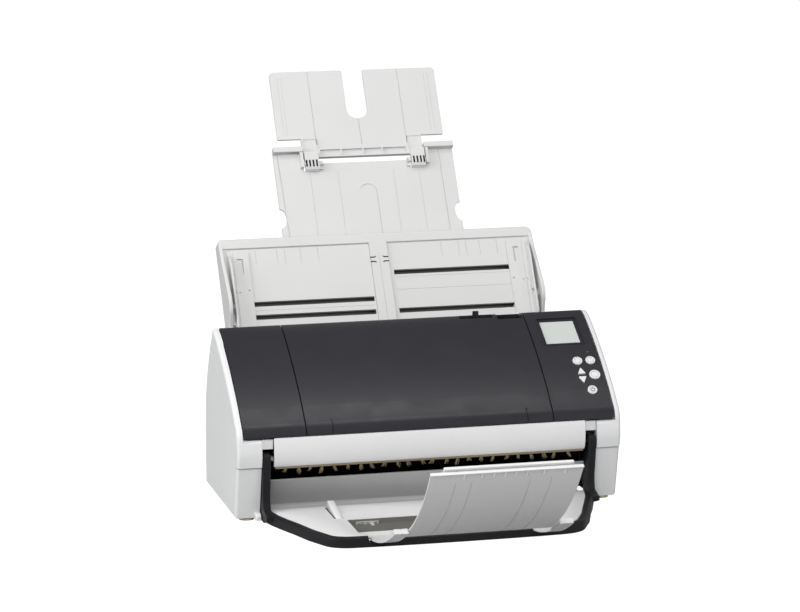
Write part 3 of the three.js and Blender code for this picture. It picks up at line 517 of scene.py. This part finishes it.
def lcd_block(margin, low, high, radius=0.0):
    x, y = (half + margin for half in LCD_HALF)
    corners = [(-x, -y), (x, -y), (x, y), (-x, y)]
    if radius:
        corners = []
        for sx, sy, start in ((1, -1, -90), (1, 1, 0), (-1, 1, 90), (-1, -1, 180)):
            middle = (sx * (x - radius), sy * (y - radius))
            corners += circle(middle, radius, 4, math.radians(start), math.radians(start + 90))
    return prism(corners, low, high, "Z", on_cover(*LCD_AT))


panel = shell(SEAM + SEAM_HALF, COVER_HALF, 1)
under = prism(COVER + [(121.8, 60), (0, 60)], SEAM + 1, COVER_HALF - 0.5)
panel = join(panel, combine(lcd_block(5.4, -5.4, -0.6), [under], "INTERSECT"))
panel = cut(panel, lcd_block(0.35, -9, 8, 0.6))
holes = [lcd_block(2.6, -1.5, 8, 1.6), rod((0, 0), 1.3, -9, 8, "Z", on_cover(*LED_AT), 16)]
for x, y, size, kind in BUTTONS.values():
    holes.append(prism(key_outline(kind, size, 0.45), -12, 8, "Z", on_cover(x, y)))
stand_in(panel, "operator_panel", 0.6, segments=3, cuts=holes)

stand_in(lcd_block(0, -4.6, -2.2), "lcd_window", 0.3)
rim_ring = cut(lcd_block(4.2, -0.5, 0.35, 2.6), lcd_block(3.1, -2, 2, 1.8))
piece(rim_ring, "lcd_frame", "dark", "upper_unit", 0.3)
stand_in(rod((0, 0), 1.0, -4.5, 0.4, "Z", on_cover(*LED_AT), 20, 0.3), "status_led", 0)

for name, (x, y, size, kind) in BUTTONS.items():
    at = on_cover(x, y)
    cap = prism(key_outline(kind, size), -4.2, 1.3, "Z", at, 0, 0.5, 3)
    if kind == "round":
        well = prism(circle((0, 0), size * 0.78, 32), 0.35, 3, "Z", at)
        cushion = prism(circle((0, 0), size * 0.62, 32), 0.2, 1.25, "Z", at, 0, 0.5, 3)
        cap = join(cut(cap, well), cushion)
    node = name + "_button"
    stand_in(cap, node, 0.12)
    if name == "power":
        outer, inner = (circle((0, 0), r, 18, math.radians(125), math.radians(415)) for r in (2.1, 1.5))
        sign = prism(outer + inner[::-1], *SIGN_DEPTH, "Z", at)
        stroke = box((-0.3, 0.3), (0.4, 2.5), SIGN_DEPTH, at)
        piece(sign, "power_sign", "black", node, 0)
        piece(stroke, "power_sign_stroke", "black", node, 0)

# ---------- front panel and brush ----------
face = bezier((1.9, 55.6), (-0.9, 60), (-0.9, 70), 8) + bezier((-0.9, 70), (-0.6, 78), (0.9, 83.2), 6)
front = [(4.2, 54.6), (2.6, 54.7)] + [(1.9, 55.6)] + face + [(3.6, 83.2)]
back = offset([(1.9, 55.6)] + face, SKIN)[::-1][1:-1]
panel_line = front + back
stand_in(prism(panel_line, -154.1, 154.1, "X", BODY, 0.9, 0.9, 3), "adf_front_panel", 0.3)

strip = prism([(3.2, 52.6), (5.4, 52.6), (5.4, 56.4), (3.2, 56.4)], -152.6, 152.6)
stand_in(strip, "exit_brush", 0.3)
TUFTS, STRANDS = 24, 20
random.seed(7)
bristles = bmesh.new()
for tuft in range(TUFTS):
    x = -142 + tuft * 12.1 + random.uniform(-1.5, 1.5)
    lean = random.uniform(-0.55, 0.55)
    splay = random.uniform(1.2, 2.6)
    length = random.uniform(4.2, 7.4)
    for _ in range(STRANDS):
        u, v = random.uniform(-1, 1), random.uniform(-1, 1)
        root = Vector((x + u * 0.7, 4.4 + v * 0.5, 53))
        reach = length * random.uniform(0.6, 1)
        tip = Vector((x + u * splay + lean * reach, 3.6 + v * 1.2 - 0.6, 53 - reach))
        bend = (root + tip) / 2 + Vector((u * 0.5 - lean, -0.4, 0))
        rings = []
        for point, half in ((root, 0.13), (bend, 0.12), (tip, 0.05)):
            corners = [(half, 0), (0, half), (-half, 0), (0, -half)]
            rings.append([bristles.verts.new(point + Vector((a, b, 0))) for a, b in corners])
        for a, b in zip(rings, rings[1:]):
            for i in range(4):
                bristles.faces.new((a[i - 1], a[i], b[i], b[i - 1]))
        bristles.faces.new(rings[0][::-1])
        bristles.faces.new(rings[-1])
bristles.transform(BODY)
bmesh.ops.recalc_face_normals(bristles, faces=bristles.faces)
tufts = bpy.data.objects.new("solid", bpy.data.meshes.new("solid"))
bristles.to_mesh(tufts.data)
bristles.free()
bpy.context.scene.collection.objects.link(tufts)
piece(tufts, "brush_tufts", "brush", "upper_unit", 0)

# ---------- paper chute ----------
SLOT_LEFT = (18.4, 4.4)
SLOT_RIGHT = (46, 4.4)
SLOT_HALF = 2.6
CHUTE_HALF = 162.4
CHUTE_END = 89
WALL = 3.8


def chute_block(x, w, n):
    return box(x, w, n, CHUTE)


bed = chute_block((-158.8, 158.8), (-27, 80), (-3, 0))
for up in SLOT_LEFT:
    bed = cut(bed, chute_block((-138.5, -10), (up - SLOT_HALF, up + SLOT_HALF), (-9, 9)))
for up in SLOT_RIGHT:
    bed = cut(bed, chute_block((13.6, 138.5), (up - SLOT_HALF, up + SLOT_HALF), (-9, 9)))
lip = [(78.5, -3), (CHUTE_END, -3), (CHUTE_END, 0.3), (88, 1.3), (86.6, 1.6), (79, 1.5), (78.5, 1.1)]
lip = prism(lip, -CHUTE_HALF, CHUTE_HALF, "X", CHUTE)
rib = chute_block((-8.6, 9.4), (-24, 80), (-1, 1.9))
tall = [(-20, -16), (CHUTE_END, -16), (CHUTE_END, -1), (87.6, 1)]
tall += bezier((87.6, 1), (75, 2.6), (63, 5.5), 4)
tall += bezier((63, 5.5), (42, 12), (24, 17.8), 5) + bezier((24, 17.8), (13, 21.5), (3, 15), 5)
tall += [(-6, 5.5), (-20, 2)]
walls = [prism(tall, x, x + WALL, "X", CHUTE, 0.8, 0.8, 2) for x in (-CHUTE_HALF, CHUTE_HALF - WALL)]


def corner_off(radius, at):
    """What rounds the top outer corner of the chute, seen along its face."""
    x, w = CHUTE_HALF - radius, CHUTE_END - radius
    turns = [math.pi / 16 * k for k in range(9)]
    arc = [(x + radius * math.sin(t), w + radius * math.cos(t)) for t in turns]
    return prism(arc + [(164, w), (164, 91), (x, 91)], -20, 8, "Z", at)


bed = cut(join(bed, lip, rib, *walls), corner_off(7, CHUTE), corner_off(3, CHUTE @ MIRROR))
fine = []
for x in (-152.5, -126, -104, -96, -80, -62, 66, 84, 92, 106, 124):
    fine.append(chute_block((x - 0.35, x + 0.35), (61, 76), (-0.5, 2)))
fine.append(chute_block((-0.35, 0.35), (-20, 66), (1.4, 3)))
fine += [chute_block((x - 0.3, x + 0.3), (-24, 77), (-0.6, 1)) for x in (-8.9, 9.7)]
fine.append(chute_block((13.6, 133), (26.6, 27.2), (-0.4, 2)))
fine.append(chute_block((13.6, 133), (40.4, 40.8), (-0.35, 2)))
fine.append(chute_block((-138, -10), (11.2, 11.7), (-0.35, 2)))
fine.append(chute_block((-154, -9.4), (77.3, 78.3), (-0.6, 2)))
fine.append(chute_block((10.2, 154), (77.3, 78.3), (-0.6, 2)))
stand_in(bed, "chute_frame", 0.4, cuts=fine)
mark = [(-3, -0.6), (1.6, -0.6), (3, 0.6), (3, 1.4), (1.2, 0.6), (-3, 0.6)]
for i, (x, w, across, up) in enumerate(
    ((-6.4, 62.4, 1, 1), (6.4, 62.4, -1, 1), (-6.4, 57.8, 1, -1), (6.4, 57.8, -1, -1))
):
    turned = [(x + a * across, w + b * up) for a, b in mark]
    piece(prism(turned, 1.8, 2, "Z", CHUTE), f"centre_mark_{i}", "black", "root", 0)

# painted shade: a dark sheet under the chute bed, so its slots read dark
shadow = chute_block((-150, 150), (0, 52), (-9.8, -9.0))
piece(shadow, "chute_slot_shade", "black", "root", 0.2, look="hollow_shade")

# ---------- paper guides ----------
for side, node in ((1, "right_side_guide"), (-1, "left_side_guide")):
    at = CHUTE if side > 0 else CHUTE @ MIRROR
    base = prism([(133.4, -20), (155, -20), (155, 75), (135.2, 75), (133.4, 73.2)], 0.35, 1.7, "Z", at)
    crest = [(-20, 0.35), (71, 0.35), (71, 2.4)] + bezier((71, 2.4), (66, 10), (55, 13), 5)
    crest += [(2, 13), (-8, 10.6), (-20, 6)]
    wall = prism(crest, 153, 155, "X", at, 0.4, 0.4, 2)
    gusset = prism([(-4, 0.35), (8, 0.35), (8, 3.4), (-4, 3.4)], 153, 158, "X", at)
    tab_at = SLOT_LEFT[0] if side < 0 else SLOT_RIGHT[1]
    tab = box((133.8, 137.2), (tab_at - 1.4, tab_at + 1.4), (-10.2, 1), at)
    guide = join(base, wall, gusset, tab)
    slot_line = box((139.8, 141.4), (51, 67), (-1, 3), at)
    slot_top = box((139.8, 145.4), (65.4, 67), (-1, 3), at)
    hole = rod((136.6, 33), 0.9, -1, 3, "Z", at, 12)
    score = box((149.2, 149.8), (-18, 73), (1.2, 3), at)
    dots = [rod((146.5, 31), 0.8, 0.6, 3, "Z", at, 12), rod((150.6, 31.5), 1.0, 0.6, 3, "Z", at, 12)]
    spring_mark = box((151.4, 156.6), (13.5, 19), (3, 9), at)
    stand_in(guide, node, 0.4, cuts=[slot_line, slot_top, hole, score, spring_mark, *dots])

# ---------- chute extensions ----------
FOLD = (169, -1.2)
PIN_R = 1.6
SLIT_X = (49.8, 53.4, 57, 60.4)
THICK = (-7.4, -5)


def plate(outline, low=THICK[0], high=THICK[1]):
    return prism(outline, low, high, "Z", CHUTE)


outline = [(-94, 57), (94, 57), (94, 101)]
outline += bezier((94, 101), (88.2, 102), (88, 111.5), 6) + bezier((88, 111.5), (88.2, 121), (94, 122), 6)
outline += [(94, 186.6), (63.6, 186.6), (63.6, 162.4), (47.6, 162.4), (47.6, 170.4)]
outline += [(-x, w) for x, w in outline[::-1]]
first = plate(outline)
for x in (-94, 63.6):
    lip_line = [(181.4, -7), (187, -7), (187.4, 1.2), (185.6, 2), (182, 1.6), (181.4, 0.6)]
    first = join(first, prism(lip_line, x, x + 30.4, "X", CHUTE))
for side in (1, -1):
    at = CHUTE if side > 0 else CHUTE @ MIRROR
    first = join(
        first,
        box((44, 47.6), (163, 169), (-7, -2.4), at),
        rod(FOLD, 2.4, 44, 47.6, "X", at),
        rod(FOLD, PIN_R, 47, 66, "X", at, 20),
        box((63.9, 67), (165, 184), (-7, 0.6), at),
    )
for x in (-70, -30, 30, 70):
    first = join(first, box((x - 0.7, x + 0.7), (60, 160), (-8.2, -7), CHUTE))
grooves = [
    plate([(-90.2, 181), (-89.2, 181), (-85.9, 60), (-86.9, 60)], -5.8, -3),
    plate([(78.6, 181), (79.5, 181), (80.3, 60), (79.4, 60)], -5.7, -3),
]
for x, low in ((-58, 78), (-29, 72), (29, 78), (56, 70)):
    grooves.append(box((x - 0.35, x + 0.35), (low, 160), (-5.4, -3), CHUTE))
arch_in, arch_out = ([(r, 57)] + circle((0, 136.6), r, 14, 0, math.radians(150)) for r in (8.4, 9.3))
grooves.append(plate(arch_out + arch_in[::-1], -5.7, -3))
stand_in(first, "chute_extension_1", 0.35, cuts=grooves)

BAR_HALF = 62.8
BAR_FOOT = 176.4
NOTCH_R = 10.8  # half the width of the notch at the top
notched = [(-87, 199), (-86, 198), (-BAR_HALF, 198), (-BAR_HALF, BAR_FOOT)]
notched += [(BAR_HALF, BAR_FOOT), (BAR_HALF, 198), (86, 198), (87, 199)]
notched += [(87, 271), (84.6, 273.6), (11.6, 273.6), (NOTCH_R, 272.8), (NOTCH_R, 230)]
notched += circle((0, 230), NOTCH_R, 20, 0, -math.pi)[1:-1]
notched += [(-NOTCH_R, 230), (-NOTCH_R, 272.8), (-11.6, 273.6), (-84.6, 273.6), (-87, 271)]
second = plate(notched)
bar = join(
    box((-BAR_HALF, BAR_HALF), (BAR_FOOT, 185.4), (THICK[0], -2.4), CHUTE),
    box((-BAR_HALF, BAR_HALF), (185, 197.6), (THICK[0], -3.4), CHUTE),
)
pockets = []
for x0, x1 in ((-44.8, -23.8), (-22.2, -0.8), (0.8, 19.2), (20.8, 44.8)):
    pockets.append(box((x0, x1), (178, 184.4), (-4.9, 3), CHUTE))
pockets.append(box((-46.6, 46.6), (186, 200), (-4.7, 3), CHUTE))
pockets += [box((x, x + 13.6), (182.6, 196.6), (-4.2, 3), CHUTE) for x in (-61.4, 47.8)]
second = join(second, cut(bar, *pockets))
for x in (-64, -47, 47, 64):
    second = join(second, box((x - 0.7, x + 0.7), (200, 270), (-8.2, -7), CHUTE))
for side in (1, -1):
    at = CHUTE if side > 0 else CHUTE @ MIRROR
    foot_line = [(161.8, -3.1), (163, -3.6), (181.4, -3.6)]
    foot_line += [(181.4, 1.2), (179, 1.9), (165, 1.9), (161.8, 0.2)]
    knuckle = prism(foot_line, 48.2, 62.6, "X", at)
    slits = [box((x, x + 1.9), (164.6, 172), (-1.9, 5), at) for x in SLIT_X]
    bore = rod(FOLD, PIN_R + 0.06, 46, 64, "X", at, 20)
    second = join(second, cut(knuckle, *slits, bore))
    for x in SLIT_X:
        shade = box((x + 0.02, x + 1.88), (164.65, 171.95), (-1.9, 0.9), at)
        shade = cut(shade, rod(FOLD, PIN_R + 0.2, 46, 64, "X", at, 20))
        piece(shade, f"knuckle_shade_{side + 1}_{x:.0f}", "black", "chute_extension_2", 0)
lines = [box((x - 0.45, x + 0.45), (w, 272.6), (-5.7, -3), CHUTE) for x, w in ((-47.3, 190), (47.3, 190))]
lines.append(box((-0.45, 0.45), (190, 219.6), (-5.7, -3), CHUTE))
lines += [box((x - 0.22, x + 0.22), (203, 267), (-5.3, -3), CHUTE) for x in (-79.5, -76, 75, 79)]
stand_in(second, "chute_extension_2", 0.35, cuts=lines)

# ---------- stacker ----------
ARC_CENTRE = (-76, 244.5)
ARC_R = 239.5
STAGE_T = 2
STAGE_ONE = (4.6, 29.5)  # where each stage starts and ends on its arc, in degrees from straight down
STAGE_TWO = (22.5, 55.3)
OPENING_FROM = 5.8
STAGE_HALF = 84.5
RAIL_X = 72


def arc_point(radius, degrees):
    angle = math.radians(degrees)
    return ARC_CENTRE[0] - radius * math.sin(angle), ARC_CENTRE[1] - radius * math.cos(angle)


def arc_strip(x0, x1, inner, outer, a0, a1, steps=24, ends=0.0):
    line = [arc_point(outer, a0 + (a1 - a0) * i / steps) for i in range(steps + 1)]
    line += [arc_point(inner, a1 - (a1 - a0) * i / steps) for i in range(steps + 1)]
    return prism(line, x0, x1, "X", BODY, ends, ends, 2)


stage_one = arc_strip(-STAGE_HALF, STAGE_HALF, ARC_R - STAGE_T, ARC_R, *STAGE_ONE)
for x0, x1 in ((-STAGE_HALF, -RAIL_X), (RAIL_X, STAGE_HALF)):
    stage_one = join(stage_one, arc_strip(x0, x1, ARC_R - 4.8, ARC_R - 1, 7, STAGE_ONE[1]))
trims = []
for x in (-81.5, -77.5, 76.7, 80.7):
    trims.append(arc_strip(x, x + 0.8, ARC_R - 0.5, ARC_R + 2, 6, STAGE_ONE[1] + 1))
for x in (-79, 77.8):
    trims.append(arc_strip(x, x + 1.2, ARC_R - 6, ARC_R - 4.2, 6, STAGE_ONE[1] + 1))
opening = arc_strip(-71.2, 71.2, ARC_R - 8, ARC_R + 4, OPENING_FROM, STAGE_ONE[1] + 2)
stage_one = cut(stage_one, opening)
stand_in(stage_one, "stacker_extension_1", 0.5, cuts=trims)

FACE = ARC_R - STAGE_T - 0.4  # the outer face of stage 2, the one seen from the front
LIP = STAGE_TWO[1]
TWO_HALF = 70.5
GUSSETS = (-39.2, -22.7, -11.6, -1.5, 8.6, 18.8, 34.4, 53.7)
GUSSET_HALF = 0.65
GUSSET_LOW = LIP - 1.9
stage_two = arc_strip(-TWO_HALF, TWO_HALF, FACE - STAGE_T, FACE, *STAGE_TWO, 36, 0.6)
flange = [(FACE - 2.4, LIP), (FACE + 0.9, LIP), (FACE + 1.1, LIP - 0.15)]
flange += [(FACE + 0.9, LIP - 0.3), (FACE - 2.4, LIP - 0.35)]
stage_two = join(stage_two, prism([arc_point(*p) for p in flange], -TWO_HALF, TWO_HALF))
web = [(FACE - 0.5, GUSSET_LOW), (FACE + 0.6, GUSSET_LOW), (FACE + 1, LIP - 0.3), (FACE - 0.5, LIP - 0.3)]
scores = [arc_strip(x, x + 0.8, FACE - 0.45, FACE + 2, 22, LIP - 3.2) for x in (-46, -31, 23, 42.5)]
for x in GUSSETS:
    gusset = prism([arc_point(*p) for p in web], x - GUSSET_HALF, x + GUSSET_HALF)
    # each gusset takes a brighter copy of the white, painted light on its lit face
    piece(gusset, f"lip_gusset_{x:.0f}", "white", "stacker_stage_2", 0.1, look="lit_white")
    scores.append(arc_strip(x + GUSSET_HALF, x + 1.5, FACE - 0.5, FACE + 2, GUSSET_LOW, LIP - 0.4, 4))
stand_in(stage_two, "stacker_extension_2", 0.35, cuts=scores)

stopper = arc_strip(-58, 62, FACE - 6, FACE - 3, LIP - 3.4, LIP + 0.7, 6, 0.8)
stand_in(stopper, "stacker_stopper", 0.5)


def rim_half(inset):
    line = [(0, -109)] + bezier((0, -109), (60, -108.9), (100, -107), 6)
    line += bezier((100, -107), (120, -106), (127, -93), 8)
    line += [(130.3, -86.3)] + bezier((130.3, -86.3), (134, -79), (137.6, -71.6), 3)
    line += [(146.5, -46), (153.5, -28.5), (160, -10), (165.2, 12.5)]
    return offset(line, -inset)


# the rim's section as (inset, height), from its outer foot over the rounded top to its inner foot
RIM_SECTION = [(0.9, 0.8), (0.2, 1.6), (0, 3), (0, 8), (0.5, 9.6), (1.7, 10.5), (3.4, 10.75), (6, 10.7)]
RIM_SECTION += [(7.3, 10.3), (8, 9.3), (8, 1.4), (7.4, 0.8)]


def rim():
    rings = []
    lines = {inset: rim_half(inset) for inset, _ in RIM_SECTION}
    count = len(rim_half(0))
    for side in (-1, 1):
        order = range(count - 1, 0, -1) if side < 0 else range(count)
        for i in order:
            rings.append([(side * lines[u][i][0], lines[u][i][1], z) for u, z in RIM_SECTION])
    return loft(rings)


def arm(at):
    rear = [(2, 0.8), (12, 0.8), (16, 3), (18.5, 9)] + bezier((18.5, 9), (18, 20), (16.6, 36), 6)
    rear += [(15.6, 58)] + bezier((15.6, 58), (15.2, 68.4), (8, 68.6), 5)
    front = bezier((8, 68.6), (-0.4, 69), (-0.9, 62), 5) + bezier((-0.9, 62), (0.6, 45), (2.6, 34), 5)
    front += bezier((2.6, 34), (5.4, 21), (1, 14), 5) + [(-14, 10.6), (-14, 6)]
    whole = prism(rear + front, 157.3, 165.1, "X", at, 1.2, 1.2, 3)
    return cut(whole, rod((9, 62), 3.06, 150, 170, "X", at, 24))


ring = cut(rim(), box((-71.6, 71.6), (-120, -98), (8, 20)))
ring = cut(ring, *(box((x, x + 16.6), (-120, -98), (5.4, 20)) for x in (-87.5, 70.9)))
stand_in(join(ring, arm(BODY), arm(BODY @ MIRROR)), "stacker_rim", 0.45, segments=2)

# the tray's recess with painted shade: a dark face and ramp, darker latch housings and black liners in the
# tongue slots; and a small stop
hollow_shade = [(-38.05, 2.3), (-38.05, 9.4), (-38.35, 9.4), (-39, 5), (-58, 2.45), (-58, 2.3)]
hollow_shade = prism(hollow_shade, -92.4, 92.4)
piece(hollow_shade, "tray_hollow", "black", "stacker", 0, look="hollow_shade")
for side in (1, -1):
    at = BODY if side > 0 else BODY @ MIRROR
    label = "right" if side > 0 else "left"
    latch = box((62, 84), (-40.2, -38.6), (2.4, 7.4), at)
    for x0, x1 in ((63, 66.4), (71, 74), (76, 83)):
        latch = cut(latch, box((x0, x1), (-43, -39), (3.2, 6.8), at))
    latch = join(latch, box((66.8, 70), (-44.5, -39.5), (2.4, 5.4), at))
    # the housings take the darker white, painted shade in the recess
    piece(latch, label + "_latch_housing", "side", "stacker", 0.2, look="wall")
    floor_shade = join(
        box((94.9, 103.4), (-33.6, 9), (2.85, 3.2), at),
        box((101.9, 103.4), (-33.6, 9), (2.85, 9.9), at),
    )
    # a black liner, painted shade in the tongue slot
    piece(floor_shade, label + "_tongue_slot_shade", "black", "stacker", 0)
stop = [(6, 2), (14, 2), (15.6, 5), (14.4, 8.6), (8.4, 8.6), (6, 6)]
stop = prism(stop, 166, 171, "X", BODY @ MIRROR, 0, 1.2, 3)
piece(stop, "left_stacker_stop", "side", "root", 0.5)

# ---------- carried-over CAD nodes ----------
EDGE = {"white": 0.5, "side": 0.6, "dark": 0.5, "black": 0.4, "button": 0.25, "steel": 0.2, "rubber": 0.3}


def soften_cad(node, width):
    """Merges the facets and rounds the edges with modifiers, so the CAD mesh itself stays as it is."""
    obj = nodes[node]
    weld = obj.modifiers.new("weld", "WELD")
    weld.merge_threshold = 1e-5
    flat = obj.modifiers.new("flat", "DECIMATE")
    flat.decimate_type = "DISSOLVE"
    flat.angle_limit = math.radians(0.5)
    bevel = obj.modifiers.new("edge", "BEVEL")
    bevel.width = width * MM
    bevel.segments = 2
    bevel.limit_method = "ANGLE"
    bevel.angle_limit = math.radians(35)
    bevel.harden_normals = True
    for polygon in obj.data.polygons:
        polygon.use_smooth = True


for node, obj in nodes.items():
    if obj.hide_render:
        continue
    slot = SLOT_OF[node]
    obj.data.materials.clear()
    obj.data.materials.append(MATERIALS[LOOK_OF.get(node, slot)])
    soften_cad(node, EDGE.get(slot, 0.2))

# ---------- floor, light and camera ----------


def flat_panel(name, energy, size, location, look_at=(0, 0, 0.1)):
    light = bpy.data.lights.new(name, "AREA")
    light.energy = energy
    light.shape = "RECTANGLE"
    light.size, light.size_y = size
    obj = bpy.data.objects.new(name, light)
    bpy.context.scene.collection.objects.link(obj)
    obj.location = location
    obj.rotation_euler = (Vector(look_at) - Vector(location)).to_track_quat("-Z", "Y").to_euler()
    return obj


def pale_floor():
    """A white sweep: mid-grey to the object, so little light bounces, and near white to the camera."""
    mat, tree, shader, coords = node_material("floor")
    drift = add_noise(tree, coords, 3, 2)
    tone = add_mix(tree, drift, (0.42, 0.42, 0.42), (0.44, 0.44, 0.44))
    tree.links.new(tone, shader.inputs["Base Color"])
    shader.inputs["Roughness"].default_value = 0.8
    shader.inputs["Specular IOR Level"].default_value = 0.1
    path = tree.nodes.new("ShaderNodeLightPath")
    shader.inputs["Emission Color"].default_value = (1, 1, 1, 1)
    glow = add_range(tree, path.outputs["Is Camera Ray"], 0, 0.9, 0, 1)
    tree.links.new(glow, shader.inputs["Emission Strength"])
    return mat


floor_mesh = bpy.data.meshes.new("floor")
floor_mesh.from_pydata([(-6, -6, 0), (6, -6, 0), (6, 6, 0), (-6, 6, 0)], [], [(0, 1, 2, 3)])
floor = bpy.data.objects.new("floor", floor_mesh)
bpy.context.scene.collection.objects.link(floor)
floor_mesh.materials.append(pale_floor())

AMBIENT = 0.22
BACKDROP = 1.05  # what the camera sees of the world
world = bpy.data.worlds.new("studio")
world.use_nodes = True
backdrop = world.node_tree.nodes["Background"]
backdrop.inputs["Color"].default_value = (1, 1, 1, 1)
seen = world.node_tree.nodes.new("ShaderNodeLightPath")
strength = add_range(world.node_tree, seen.outputs["Is Camera Ray"], AMBIENT, BACKDROP, 0, 1)
world.node_tree.links.new(strength, backdrop.inputs["Strength"])
bpy.context.scene.world = world
bpy.context.scene.view_settings.view_transform = "Standard"


def around(azimuth, elevation, distance):
    """A place round the object: azimuth to the left of the front, in degrees."""
    a, e = math.radians(azimuth), math.radians(elevation)
    flat = distance * math.cos(e)
    return -flat * math.sin(a), -flat * math.cos(a), distance * math.sin(e) + 0.1


key = flat_panel("key", 44, (1.9, 1.2), around(14, 40, 2.6))
key.visible_glossy = False
flat_panel("side", 31, (1.4, 1.4), around(80, 26, 2.3))
flat_panel("fill", 8, (1.0, 1.0), around(-45, 15, 2.4))
flat_panel("top", 9, (1.6, 0.5), around(0, 80, 2.2))

CAMERA_AT = (-0.83873, -3.28731, 0.89680)
CAMERA_DIRECTION = (0.2358043, 0.9506120, -0.2018247)
camera = bpy.data.objects.new("camera", bpy.data.cameras.new("camera"))
bpy.context.scene.collection.objects.link(camera)
camera.location = CAMERA_AT
camera.rotation_euler = Vector(CAMERA_DIRECTION).to_track_quat("-Z", "Y").to_euler()
camera.data.lens = 162.3
camera.data.sensor_width = 36
bpy.context.scene.camera = camera
